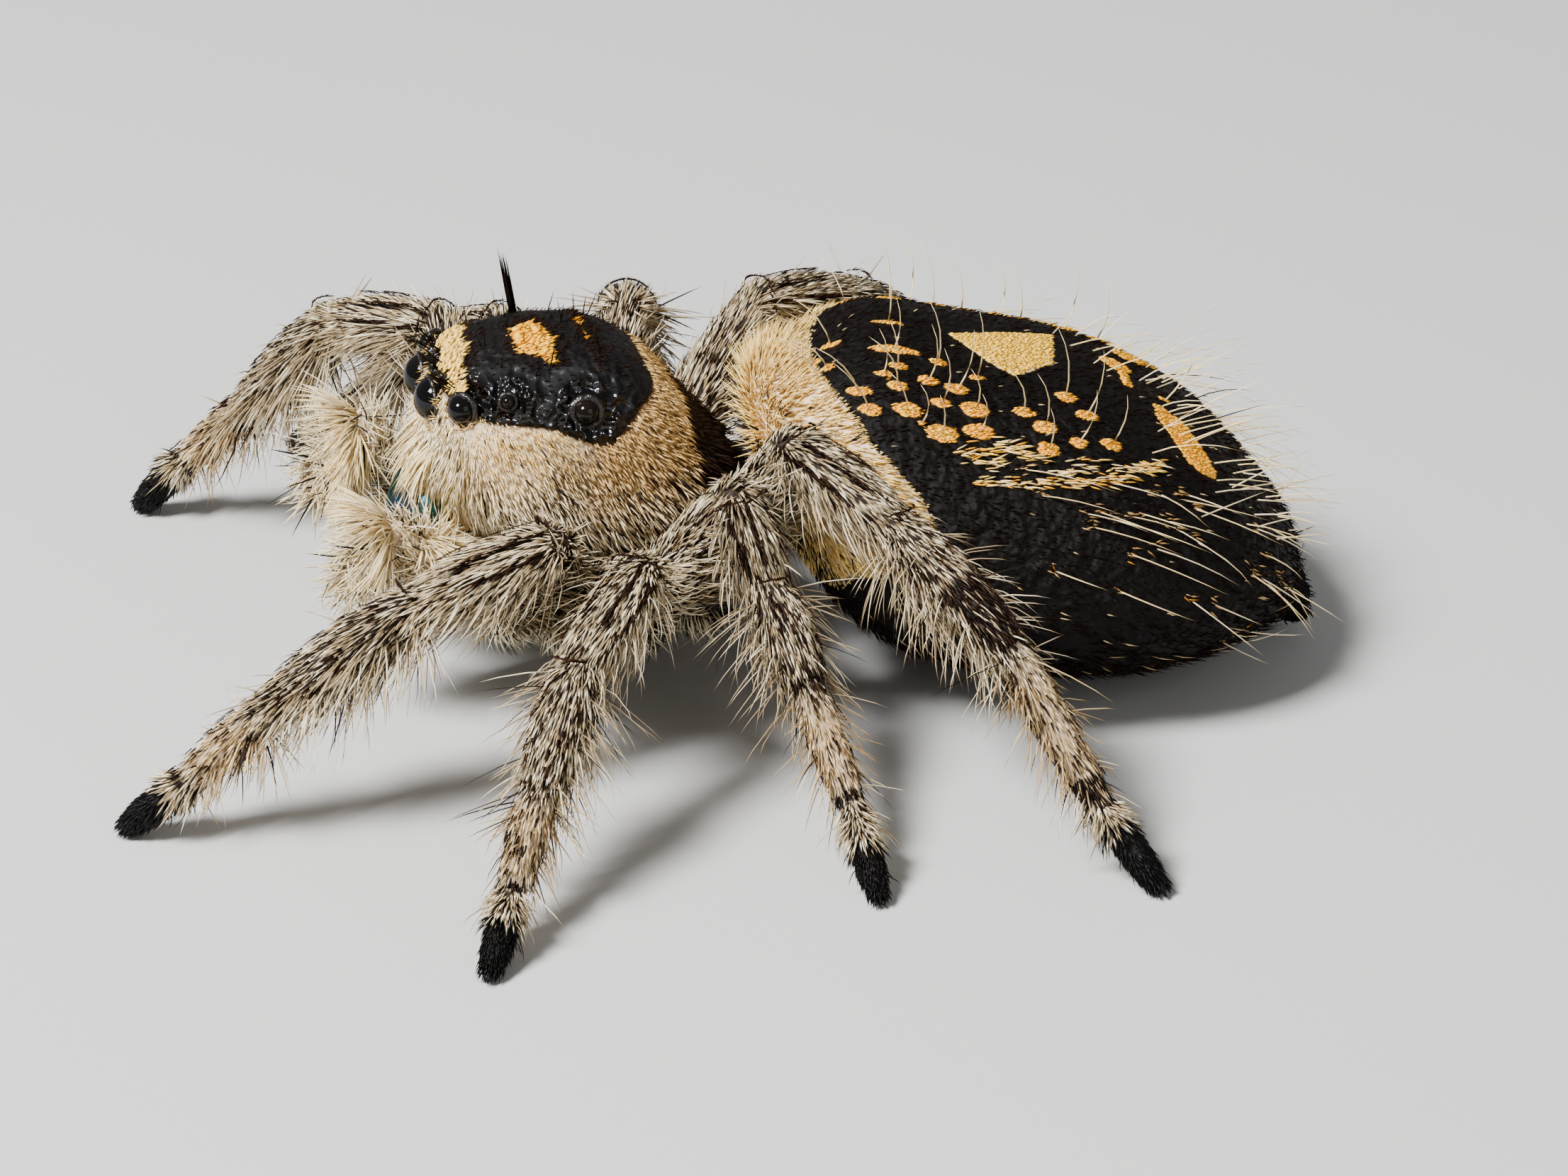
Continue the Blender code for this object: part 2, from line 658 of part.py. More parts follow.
def main():
    clear_scene()
    spider = bpy.data.collections.new("regal_jumping_spider")
    bpy.context.scene.collection.children.link(spider)
    materials = {
        "coat": make_material("grey_cream_coat", COLOURS["coat"], 0.8),
        "black_coat": make_material("black_velvet_coat", COLOURS["black_coat"], 0.7),
        "cap": make_material("black_cap", COLOURS["cap"], 0.4),
        "eye": make_material("eye_lens", COLOURS["eye"], 0.05),
        "chelicera": make_material("blue_green_chelicera", COLOURS["chelicera"], 0.25, 0.6),
        "foot": make_material("dark_foot_pad", COLOURS["foot"], 0.8),
    }

    # The bare pieces come first, so that every lock can be kept clear of them.
    legs = leg_cores()
    palps = {}
    for side in ("left", "right"):
        palps[f"palp_{side}_upper"], palps[f"palp_{side}_tarsus"] = palp_cores(side)
    additions = cephalothorax_additions()
    cores = {"cephalothorax": (cephalothorax_core(), "cap"), "abdomen": (abdomen_core(), "black_coat")}
    cores["pedicel"] = (pedicel_core(), "black_coat")
    for side, sign in (("left", 1), ("right", -1)):
        cores[f"chelicera_{side}"] = (chelicera_core(sign), "chelicera")
        for name, x, y, z, radius, sides, rings in EYES:
            cores[f"eye_{name}_{side}"] = (ball_at((sign * x, y, z), radius, sides, rings), "eye")
    for name, core in palps.items():
        cores[name] = (core[0], "coat")
    for name, core in legs.items():
        cores[name] = (core[0], "foot" if name.endswith("tarsus") and "meta" not in name else "coat")
    spinnerets = spinnerets_pieces()
    cores["spinnerets"] = (spinnerets[0], "black_coat")

    trees = {name: BVHTree.FromBMesh(bm) for name, (bm, _) in cores.items()}
    for i, piece in enumerate(spinnerets[1:]):
        trees[f"spinneret_{i}"] = BVHTree.FromBMesh(piece)
    coat = Coat(trees)
    draw = random.Random(SEED)
    for name, core in legs.items():
        segment = name.rsplit("_", 1)[1]
        if segment in LEG_LOCKS:
            limb_locks(coat, name, core, LEG_LOCKS[segment], draw)
    for name, core in palps.items():
        rows = ((0.35, 120, 0.5), (0.4, -120, 0.5), (0.75, 60, 0.5), (0.75, -60, 0.5))
        limb_locks(coat, name, core, rows, draw, lean=(0.4, 0.8), width=0.42)
    surface_locks(coat, "cephalothorax", trees["cephalothorax"], moustache_spots(), draw, MOUSTACHE_WIDTH)
    surface_locks(coat, "cephalothorax", trees["cephalothorax"], head_spots(), draw)
    surface_locks(coat, "cephalothorax", trees["cephalothorax"], bristle_spots(), draw, BRISTLE_WIDTH)
    surface_locks(coat, "abdomen", trees["abdomen"], abdomen_spots(), draw, ABDOMEN_LOCK_WIDTH)

    for name, (bm, finish_name) in cores.items():
        obj = make_object(name, bm, materials[finish_name])
        joined = list(coat.locks.get(name, []))
        if name == "cephalothorax":
            joined += additions
        if name == "spinnerets":
            joined += spinnerets[1:]
        if joined:
            boolean(obj, joined, "UNION")
        if name == "cephalothorax":
            sockets = [
                ball_at((sign * x, y, z), radius + EYE_GAP, sides, rings)
                for _, x, y, z, radius, sides, rings in EYES
                for sign in (1, -1)
            ]
            boolean(obj, sockets, "DIFFERENCE")
        keep_largest(obj.data)
        finish(obj, spider)


main()
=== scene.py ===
import math
import bmesh
import bpy
import numpy as np
from mathutils import Matrix, Vector
from mathutils.bvhtree import BVHTree


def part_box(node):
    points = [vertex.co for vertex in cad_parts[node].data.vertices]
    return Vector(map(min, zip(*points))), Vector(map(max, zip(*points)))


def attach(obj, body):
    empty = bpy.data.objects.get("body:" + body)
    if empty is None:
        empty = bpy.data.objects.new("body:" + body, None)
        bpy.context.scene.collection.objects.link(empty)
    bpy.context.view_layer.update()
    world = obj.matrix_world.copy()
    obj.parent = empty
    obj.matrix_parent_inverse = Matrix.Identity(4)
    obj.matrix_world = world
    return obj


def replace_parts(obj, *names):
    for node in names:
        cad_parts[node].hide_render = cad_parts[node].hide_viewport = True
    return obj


# The looks of the jumping spider: one skin, its coat of hair, the eyes and the fangs' bases.
# Shapes are worked out in millimetres from the waist: the spider faces -Y, its left side is +X.
# A finished piece is moved to its place in the frame and brought to metres by toFrame.

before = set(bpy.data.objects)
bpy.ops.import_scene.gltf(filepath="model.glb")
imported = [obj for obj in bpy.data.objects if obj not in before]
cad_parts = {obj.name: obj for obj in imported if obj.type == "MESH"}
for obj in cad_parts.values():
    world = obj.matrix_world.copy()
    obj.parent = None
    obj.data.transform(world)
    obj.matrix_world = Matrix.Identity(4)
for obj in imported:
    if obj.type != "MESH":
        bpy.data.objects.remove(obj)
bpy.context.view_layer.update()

chance = np.random.default_rng(7)
sides = {"left": 1, "right": -1}
eyeAhead = 4.40  # the front eyes stand this far ahead of the waist
eyeKinds = ("anterior_median", "anterior_lateral", "posterior_median", "posterior_lateral")
eyeBoxes = {(kind, side): np.array(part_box(f"eye_{kind}_{side}")) * 1000 for kind in eyeKinds
            for side in sides}
leftEye, rightEye = (eyeBoxes["anterior_median", side] for side in sides)
waist = np.array(((leftEye[0, 0] + leftEye[1, 0] + rightEye[0, 0] + rightEye[1, 0]) / 4,
                  (leftEye[0, 1] + leftEye[1, 1]) / 2 + eyeAhead, 0.0))
eyes = []  # kind, side, centre, radius
for (kind, side), (low, high) in eyeBoxes.items():
    eyes.append((kind, side, (low + high) / 2 - waist, (high[2] - low[2]) / 2))
print("frame loaded:", len(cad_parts), "nodes, waist at", np.round(waist, 2))


# Shapes

# A station is a place along the body, half the width, the top and the bottom there.
headShape = {
    "stations": (
        (-4.61, 1.45, 5.00, 2.74), (-4.20, 1.50, 5.00, 2.71), (-3.60, 1.60, 5.00, 2.42),
        (-2.65, 1.74, 4.97, 2.25),
        (-1.80, 1.80, 4.66, 2.16), (-1.00, 1.80, 3.90, 2.13), (-0.45, 1.50, 3.35, 2.15),
    ),
    "frontBlunt": 3.4, "rearBlunt": 2.4, "section": 3.1, "taper": 0.18, "coat": 0.06, "mesh": (48, 36),
}
abdomenShape = {
    "stations": (
        (-0.42, 2.35, 4.70, 3.00), (0.30, 2.85, 4.88, 1.20), (1.10, 3.10, 4.92, 0.50),
        (2.35, 3.25, 4.50, 0.22),
        (4.05, 3.35, 4.05, 0.12), (5.60, 3.20, 3.42, 0.12), (6.40, 3.08, 2.80, 0.15),
        (6.95, 2.90, 2.45, 0.22),
    ),
    "frontBlunt": 2.7, "rearBlunt": 2.5, "section": 2.15, "taper": 0.0, "coat": 0.08, "mesh": (64, 48),
    "start": (0.05, 0.10), "turn": 11.0,
}
breastShape = {"size": (0.95, 1.7, 0.45), "place": (0.0, -2.55, 1.85), "mesh": (24, 16)}
waistShape = {"start": (0.0, -0.75, 2.75), "end": (0.02, 0.35, 2.86), "radii": ((0.0, 0.27), (1.0, 0.27)),
              "coat": 0.02}
spinneretShape = {"places": ((0.16, 0.12), (-0.16, 0.12), (0.16, -0.14), (-0.16, -0.14)),
                  "radii": ((0.0, 0.21), (0.6, 0.17), (1.0, 0.11)), "start": (6.70, 0.64),
                  "end": (7.12, 0.58)}
legShape = {
    "roots": {1: (1.45, -3.75, 1.75), 2: (1.90, -3.00, 1.70), 3: (1.90, -2.10, 1.70), 4: (1.65, -1.25, 1.70)},
    "lengths": {
        1: (2.40, 1.80, 2.30, 1.45, 1.00), 2: (2.30, 1.65, 1.65, 1.40, 1.05),
        3: (2.50, 1.22, 1.42, 1.85, 1.10), 4: (2.85, 1.65, 2.20, 2.30, 1.15),
    },
    "poses": {  # heading and pitch of each segment, in degrees
        ("left", 1): ((99, 44), (7, -15), (2, -31), (-8, -42), (-18, -40)),
        ("left", 2): ((107, 39), (47, -22), (57, -37), (58, -38), (62, -33)),
        ("left", 3): ((132, 55), (121, -62), (101, -36), (99, -34), (94, -39)),
        ("left", 4): ((130, 61), (132, -23), (123, -28), (121, -45), (126, -41)),
        ("right", 1): ((88, 60), (49, -9), (45, -46), (33, -44), (27, -56)),
        ("right", 2): ((98, 48), (58, -24), (60, -40), (60, -44), (62, -38)),
        ("right", 3): ((128, 54), (104, -30), (100, -50), (98, -46), (98, -38)),
        ("right", 4): ((150, 46), (156, -10), (142, -36), (132, -50), (128, -42)),
    },
    "radii": (
        ((0.0, 0.34), (0.25, 0.46), (0.6, 0.47), (1.0, 0.38)), ((0.0, 0.38), (0.45, 0.44), (1.0, 0.36)),
        ((0.0, 0.36), (0.4, 0.42), (1.0, 0.33)), ((0.0, 0.30), (0.5, 0.29), (1.0, 0.24)),
        ((0.0, 0.23), (0.6, 0.24), (1.0, 0.21)),
    ),
    "hip": ((0.0, 0.36), (0.6, 0.42), (1.0, 0.38)), "hipEnds": (0.1, 0.25), "ends": (0.22, 0.22),
    "footEnds": (0.22, 0.06), "footCoat": 0.6, "soleCut": 0.015,
    "thickness": {1: 1.05, 2: 0.98, 3: 0.95, 4: 1.0},
    "coat": 0.07, "footHeight": 0.13, "footDark": {1: 0.22, 2: 0.40, 3: 0.40, 4: 0.32},
    "bands": {  # dark: segment, from, to, how far round from the top
        1: ((3, 0.93, 1.1, 3.2),), 2: ((3, 0.92, 1.1, 3.2),), 3: ((3, 0.84, 1.1, 3.2), (2, 0.93, 1.1, 1.2)),
        4: ((2, 0.52, 1.1, 1.35), (3, 0.80, 1.1, 3.2)),
    },
}
palpShape = {
    "places": ((1.06, -4.42, 2.10), (1.18, -5.18, 2.85), (0.84, -5.75, 1.95)),
    "raised": ((0, 0, 0), (0, 0, 1), (0, -0.3, 1.2)), "lift": {"left": 0.0, "right": 0.45},
    "upper": ((0.0, 0.24), (0.4, 0.32), (1.0, 0.31)), "upperEnds": (0.2, 0.15),
    "tarsus": ((0.0, 0.31), (0.4, 0.37), (0.8, 0.32), (1.0, 0.20)), "tarsusEnds": (0.2, 0.0), "coat": 0.08,
}
skinLook = {"voxel": 0.07, "smoothing": 2}


def between(stations, t):
    # the values at t of rows that start with a place, on a smooth curve through them
    last = len(stations) - 1
    i = min(sum(t > row[0] for row in stations[1:]), last - 1)
    before, a, b, after = (np.array(stations[j]) for j in (max(i - 1, 0), i, i + 1, min(i + 2, last)))
    span = b[0] - a[0]
    u = min(max((t - a[0]) / span, 0.0), 1.0)
    slopeA = (b - before) / (b[0] - before[0]) * span
    slopeB = (after - a) / (after[0] - a[0]) * span
    values = ((2 * u**3 - 3 * u**2 + 1) * a + (u**3 - 2 * u**2 + u) * slopeA
              + (3 * u**2 - 2 * u**3) * b + (u**3 - u**2) * slopeB)
    return values[1:]


def power(value, exponent):
    return math.copysign(abs(value) ** exponent, value)


def ball(sideCount, ringCount):
    bm = bmesh.new()
    bmesh.ops.create_uvsphere(bm, u_segments=sideCount, v_segments=ringCount, radius=1.0)
    return bm


def bodyBall(shape):
    # a ball drawn out along Y, given the stations' widths and heights, less the coat's depth
    bm = ball(*shape["mesh"])
    stations, inset = shape["stations"], shape["coat"]
    middle = (stations[0][0] + stations[-1][0]) / 2
    half = (stations[-1][0] - stations[0][0]) / 2 - inset
    for vert in bm.verts:
        around = math.atan2(vert.co.y, vert.co.x)
        along = min(max(vert.co.z, -1.0), 1.0)
        blunt = shape["rearBlunt"] if along > 0 else shape["frontBlunt"]
        y = middle + half * power(along, 2 / blunt)
        ring = math.sqrt(max(0.0, 1.0 - along**2)) ** (2 / blunt)
        width, top, bottom = between(stations, y)
        across = power(math.cos(around), 2 / shape["section"]) * ring
        rise = power(math.sin(around), 2 / shape["section"]) * ring
        centre, tall = (top + bottom) / 2, (top - bottom) / 2 - inset
        vert.co = Vector(((width - inset) * across * (1 - shape["taper"] * rise), y, centre + tall * rise))
    bmesh.ops.recalc_face_normals(bm, faces=bm.faces)
    return bm


def limb(start, end, radii, inset, ends=(0.0, 0.0)):
    # a round tube with rounded ends
    run = end - start
    bm = ball(20, 18)
    turn = run.normalized().to_track_quat("Z", "Y")
    first, last = -ends[0], run.length + ends[1]
    for vert in bm.verts:
        along = min(max(vert.co.z, -1.0), 1.0)
        place = (first + last) / 2 + (last - first) / 2 * power(along, 0.75)
        radius = between(radii, min(max(place / run.length, 0.0), 1.0))[0] - inset
        ring = math.sqrt(max(0.0, 1.0 - along**2)) ** 0.45
        flat = math.hypot(vert.co.x, vert.co.y)
        scale = radius * ring / flat if flat > 1e-6 else 0.0
        vert.co = start + turn @ Vector((vert.co.x * scale, vert.co.y * scale, place))
    bmesh.ops.remove_doubles(bm, verts=bm.verts, dist=1e-5)
    bmesh.ops.recalc_face_normals(bm, faces=bm.faces)
    return bm


def legPoints(side, number):
    sign, lengths = sides[side], legShape["lengths"][number]
    x, y, z = legShape["roots"][number]
    points = [Vector((sign * x, y, z))]
    for length, (heading, pitch) in zip(lengths, legShape["poses"][side, number]):
        pitch = math.radians(pitch)
        if len(points) == len(lengths):  # the foot reaches down to the floor
            drop = (points[-1].z - legShape["footHeight"]) / length
            pitch = -math.asin(min(max(drop, -0.98), 0.98))
        turn, flat = math.radians(heading), math.cos(pitch) * length
        stride = Vector((sign * math.sin(turn) * flat, -math.cos(turn) * flat, math.sin(pitch) * length))
        points.append(points[-1] + stride)
    return points


abdomenTurn = math.radians(abdomenShape["turn"])
abdomenAhead = np.array((math.sin(abdomenTurn), math.cos(abdomenTurn), 0.0))
abdomenAside = np.array((math.cos(abdomenTurn), -math.sin(abdomenTurn), 0.0))
abdomenOrigin = np.array((*abdomenShape["start"], 0.0))
upward = np.array((0.0, 0.0, 1.0))


def placeAbdomen(bm):
    matrix = Matrix.Rotation(-abdomenTurn, 3, "Z")
    bmesh.ops.rotate(bm, verts=bm.verts, cent=(0, 0, 0), matrix=matrix)
    bmesh.ops.translate(bm, verts=bm.verts, vec=abdomenOrigin)
    return bm


parts = []  # every closed form of the body, each with what the coat needs to know about it


def addPart(kind, form, **known):
    parts.append({"kind": kind, "form": form, **known})


def addLimb(kind, start, end, radii, inset, ends=(0.0, 0.0), **known):
    addPart(kind, limb(start, end, radii, inset, ends), start=start, end=end, **known)


def makeBody():
    addPart("head", bodyBall(headShape))
    addPart("abdomen", placeAbdomen(bodyBall(abdomenShape)))
    breast = ball(*breastShape["mesh"])
    bmesh.ops.scale(breast, verts=breast.verts, vec=breastShape["size"])
    bmesh.ops.translate(breast, verts=breast.verts, vec=breastShape["place"])
    addPart("breast", breast)
    addLimb("waist", Vector(waistShape["start"]), Vector(waistShape["end"]), waistShape["radii"],
            waistShape["coat"])


def makeLeg(side, number):
    points, leg, inset = legPoints(side, number), (side, number), legShape["coat"]
    root = points[0]
    inner = Vector((root.x * 0.45, root.y * 0.75 - 0.62, root.z - 0.05))
    addLimb("hip", inner, root, legShape["hip"], inset, legShape["hipEnds"], leg=leg)
    for i, table in enumerate(legShape["radii"]):
        radii = tuple((t, radius * legShape["thickness"][number]) for t, radius in table)
        isFoot = i == 4
        addLimb("leg", points[i], points[i + 1], radii, inset * (legShape["footCoat"] if isFoot else 1.0),
                legShape["footEnds" if isFoot else "ends"], leg=leg, segment=i)
    foot = parts[-1]["form"]
    cut = bmesh.ops.bisect_plane(foot, geom=foot.verts[:] + foot.edges[:] + foot.faces[:], clear_outer=True,
                                 plane_co=(0, 0, legShape["soleCut"]), plane_no=(0, 0, -1))
    bmesh.ops.holes_fill(foot, edges=[e for e in cut["geom_cut"] if isinstance(e, bmesh.types.BMEdge)])


def makePalp(side, sign):
    places = np.array(palpShape["places"]) + np.array(palpShape["raised"]) * palpShape["lift"][side]
    root, elbow, tip = (Vector((sign * x, y, z)) for x, y, z in places)
    upper = limb(root + (root - elbow) * 0.4, elbow, palpShape["upper"], palpShape["coat"],
                 palpShape["upperEnds"])
    addPart("palp", upper, palp=side, segment=0, start=root, end=elbow)
    addLimb("palp", elbow, tip, palpShape["tarsus"], palpShape["coat"], palpShape["tarsusEnds"], palp=side,
            segment=1)


makeBody()
for side, number in legShape["poses"]:
    makeLeg(side, number)
for side, sign in sides.items():
    makePalp(side, sign)
for aside, lift in spinneretShape["places"]:
    (y0, z0), (y1, z1) = spinneretShape["start"], spinneretShape["end"]
    tube = limb(Vector((aside, y0, z0 + lift)), Vector((aside * 1.4, y1, z1 + lift * 1.2)),
                spinneretShape["radii"], 0.0)
    addPart("spinneret", placeAbdomen(tube))


def meshOf(name, bm):
    mesh = bpy.data.meshes.new(name)
    bm.to_mesh(mesh)
    return pieceOf(name, mesh)


def pieceOf(name, mesh):
    piece = bpy.data.objects.new(name, mesh)
    bpy.context.scene.collection.objects.link(piece)
    return piece


def toFrame(piece, material=None):
    # from millimetres about the waist to metres in the frame
    piece.data.transform(Matrix.Translation(waist))
    piece.data.transform(Matrix.Scale(0.001, 4))
    if material:
        piece.data.shade_smooth()
        piece.data.materials.append(material)
    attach(piece, "root")
    return piece


whole = bmesh.new()
owners = []  # for every face of the forms, the number of its part
for number, part in enumerate(parts):
    mesh = bpy.data.meshes.new("form")
    part["form"].to_mesh(mesh)
    whole.from_mesh(mesh)
    owners += [number] * len(mesh.polygons)
    bpy.data.meshes.remove(mesh)
whole.faces.ensure_lookup_table()
ownerTree = BVHTree.FromBMesh(whole)
rough = meshOf("roughSkin", whole)
remesh = rough.modifiers.new("oneSkin", "REMESH")
remesh.mode = "VOXEL"
remesh.voxel_size = skinLook["voxel"]
skinMesh = bpy.data.meshes.new_from_object(rough.evaluated_get(bpy.context.evaluated_depsgraph_get()))
bpy.data.objects.remove(rough)
smooth = bmesh.new()
smooth.from_mesh(skinMesh)
for _ in range(skinLook["smoothing"]):
    bmesh.ops.smooth_vert(smooth, verts=smooth.verts, factor=0.5, use_axis_x=True, use_axis_y=True,
                          use_axis_z=True)
smooth.to_mesh(skinMesh)
skin = pieceOf("skin", skinMesh)
print("skin:", len(skinMesh.polygons), "faces")


# What each point of the skin is

def readArray(items, field, kind=float):
    values = np.empty(len(items) * 3, dtype=kind)
    items.foreach_get(field, values)
    return values.reshape(-1, 3)


def partOf(points):
    return np.array([owners[ownerTree.find_nearest(Vector(p))[2]] for p in points])


def dot(a, b):
    return np.einsum("ij,ij->i", a, b)


def unit(vectors):
    return vectors / np.maximum(np.linalg.norm(vectors, axis=-1, keepdims=True), 1e-9)


def step(value, low, high):
    t = np.clip((value - low) / (high - low), 0.0, 1.0)
    return t * t * (3 - 2 * t)


def curveAt(table, value):
    places, values = zip(*table)
    return np.interp(value, places, values)


skinPoints = readArray(skinMesh.vertices, "co")
skinPart = partOf(skinPoints)
kinds = np.array([part["kind"] for part in parts])
segments = np.array([part.get("segment", -1) for part in parts])
starts = np.array([part.get("start", (0, 0, 0)) for part in parts], float)
runs = np.array([part.get("end", (0, 1, 0)) for part in parts], float) - starts
lengths = np.linalg.norm(runs, axis=1)
ways = runs / lengths[:, None]
legNumbers = np.array([part.get("leg", ("", 0))[1] for part in parts])
footStarts = np.array([legShape["footDark"].get(number, 0.3) for number in legNumbers])


def limbPlace(points, part):
    # how far along its limb a point is, from 0 to 1, and the angle round it from its upper side
    away = points - starts[part]
    side = unit(np.cross(ways[part], upward))
    around = np.arctan2(dot(away, side), dot(away, np.cross(side, ways[part])))
    return dot(away, ways[part]) / lengths[part], around


def abdomenPlace(points):
    # distance back from the waist and aside, the angle from the top in degrees,
    # and the distance into the pale band
    away = points - abdomenOrigin
    back, aside = away @ abdomenAhead, away @ abdomenAside
    places, _, tops, bottoms = zip(*abdomenShape["stations"])
    middle = (np.interp(back, places, tops) + np.interp(back, places, bottoms)) / 2
    angle = np.degrees(np.arctan2(aside, points[:, 2] - middle))
    return back, aside, angle, curveAt(abdomenMarks["bandEdge"], np.abs(angle)) - back


def clearOfEyes(points):
    # the gap from each point to the nearest eye
    return np.min([np.linalg.norm(points - centre, axis=1) - radius for *_, centre, radius in eyes], axis=0)


# Markings

# Each marking is a distance in millimetres, positive inside, that both skin and coat carry.
headMarks = {
    "capLow": (  # the cap's lower edge, back along the head
        (-4.60, 4.62), (-4.25, 4.45), (-3.95, 4.30), (-3.55, 4.26), (-3.10, 4.22), (-2.70, 4.02),
        (-2.35, 4.02),
        (-2.00, 4.30), (-1.60, 4.42),
    ),
    "capRear": -1.72, "capTop": 4.4,
    "browBand": {"y": -4.13, "slant": -0.165, "half": 0.14, "reach": 0.98, "above": 4.50},
    "capSpot": ((0.24, -3.14), (0.44, 0.24)), "tail": (0.24, -3.02, 0.76, -3.02), "tailHalf": 0.08,
    "faintSpot": ((-0.15, -2.42), (0.15, 0.016)),
    "tanFrom": -3.3, "tanTo": -2.4, "tanLow": (2.6, 3.7), "sideTan": 0.62, "nape": -1.32,
}
kneeStripes = {"middle": 0.80, "apart": 0.35, "half": 0.030}
abdomenMarks = {
    "bandEdge": (  # how far back the pale front band reaches at each angle from the top
        (0, 0.42), (20, 0.46), (40, 0.62), (60, 1.10), (71, 1.68), (80, 1.92), (90, 1.45), (102, 0.85),
        (125, 0.50),
        (180, 0.40),
    ),
    "triangle": ((2.26, -0.18), (3.70, -1.00), (3.60, 0.12), (3.05, 0.70), (2.74, 0.46)),
    "bars": (  # back and aside of both ends, half width
        (5.14, 0.52, 5.42, 1.14, 0.22), (5.00, 0.30, 5.10, 0.50, 0.08), (4.46, -0.62, 4.54, -0.54, 0.15),
        (4.74, -1.30, 4.95, -1.60, 0.20), (4.56, -0.5, 4.60, 0.0, 0.05),
    ),
    "cups": (  # back, angle, half length, half width, paleness: the small orange spots
        (0.70, 9, 0.14, 0.09, 0.1), (0.49, 20, 0.11, 0.08, 0.0), (0.63, 27, 0.11, 0.08, 0.0),
        (0.52, 34, 0.11, 0.07, 0.1), (1.49, 17, 0.33, 0.11, 0.5), (1.47, -5, 0.20, 0.06, 0.0),
        (1.52, 27, 0.13, 0.08, 0.2), (1.32, 32, 0.12, 0.06, 0.0), (1.49, 37, 0.15, 0.09, 0.1),
        (0.99, 41, 0.17, 0.09, 0.2), (1.89, 32, 0.16, 0.09, 0.1), (2.06, 20, 0.13, 0.08, 0.0),
        (1.11, 48, 0.16, 0.10, 0.4), (1.59, 46, 0.20, 0.11, 0.5), (2.03, 41, 0.14, 0.08, 0.2),
        (2.26, 33, 0.17, 0.10, 0.1), (2.54, 25, 0.12, 0.06, 0.1), (2.46, 41, 0.20, 0.13, 0.3),
        (1.75, 50, 0.06, 0.04, 0.9), (2.01, 52, 0.22, 0.12, 0.7), (2.49, 49, 0.21, 0.11, 0.0),
        (3.10, 39, 0.16, 0.09, 0.2), (3.69, 27, 0.15, 0.13, 0.1), (3.35, 44, 0.17, 0.10, 0.2),
        (3.93, 35, 0.17, 0.11, 0.1), (3.36, 52, 0.16, 0.10, 0.4), (3.77, 48, 0.13, 0.08, 0.0),
        (4.21, 46, 0.15, 0.10, 0.1), (1.00, -47, 0.17, 0.09, 0.2), (1.60, -44, 0.18, 0.10, 0.3),
        (2.20, -48, 0.17, 0.10, 0.1), (2.60, -53, 0.18, 0.12, 0.2), (1.90, -56, 0.20, 0.11, 0.5),
        (3.10, -50, 0.16, 0.09, 0.2), (3.40, -56, 0.17, 0.10, 0.2), (3.95, -50, 0.16, 0.11, 0.1),
        (4.40, -54, 0.15, 0.10, 0.1), (5.10, -3, 0.10, 0.07, 0.0),
    ),
    "streaks": (  # back and angle of both ends, half width, hairs: pale broken lines along the flank
        (2.10, 57, 2.60, 58, 0.09, 34), (2.50, 53, 3.10, 54, 0.10, 40), (2.25, 64, 3.20, 62, 0.05, 34),
        (3.00, 62, 4.10, 59, 0.07, 44), (4.00, 58, 4.85, 50, 0.08, 36), (4.30, 54, 4.90, 47, 0.06, 16),
        (3.1, 57, 3.9, 55, 0.10, 18), (2.2, -58, 3.2, -60, 0.08, 50), (3.2, -60, 4.6, -54, 0.07, 60),
    ),
    "perDegree": np.radians(1.0) * 2.6,  # millimetres of surface for one degree round the abdomen
    "marksAbove": 1.4,
}


def distanceToLine(x, y, x0, y0, x1, y1):
    run = np.array((x1 - x0, y1 - y0), float)
    t = np.clip(((x - x0) * run[0] + (y - y0) * run[1]) / max(run @ run, 1e-9), 0.0, 1.0)
    return np.hypot(x - x0 - t * run[0], y - y0 - t * run[1])


def insideOval(x, y, centre, half):
    return (1 - np.hypot((x - centre[0]) / half[0], (y - centre[1]) / half[1])) * half[1]


def insidePolygon(x, y, corners):
    # distance in from the nearest side of a polygon whose corners bulge outward everywhere
    inside = np.full(len(x), 9.0)
    middle = np.mean(np.array(corners), axis=0)
    for (x0, y0), (x1, y1) in zip(corners, corners[1:] + corners[:1]):
        normal = np.array((y1 - y0, x0 - x1), float)
        normal *= math.copysign(1.0, (middle - (x0, y0)) @ normal) / np.linalg.norm(normal)
        inside = np.minimum(inside, (x - x0) * normal[0] + (y - y0) * normal[1])
    return inside


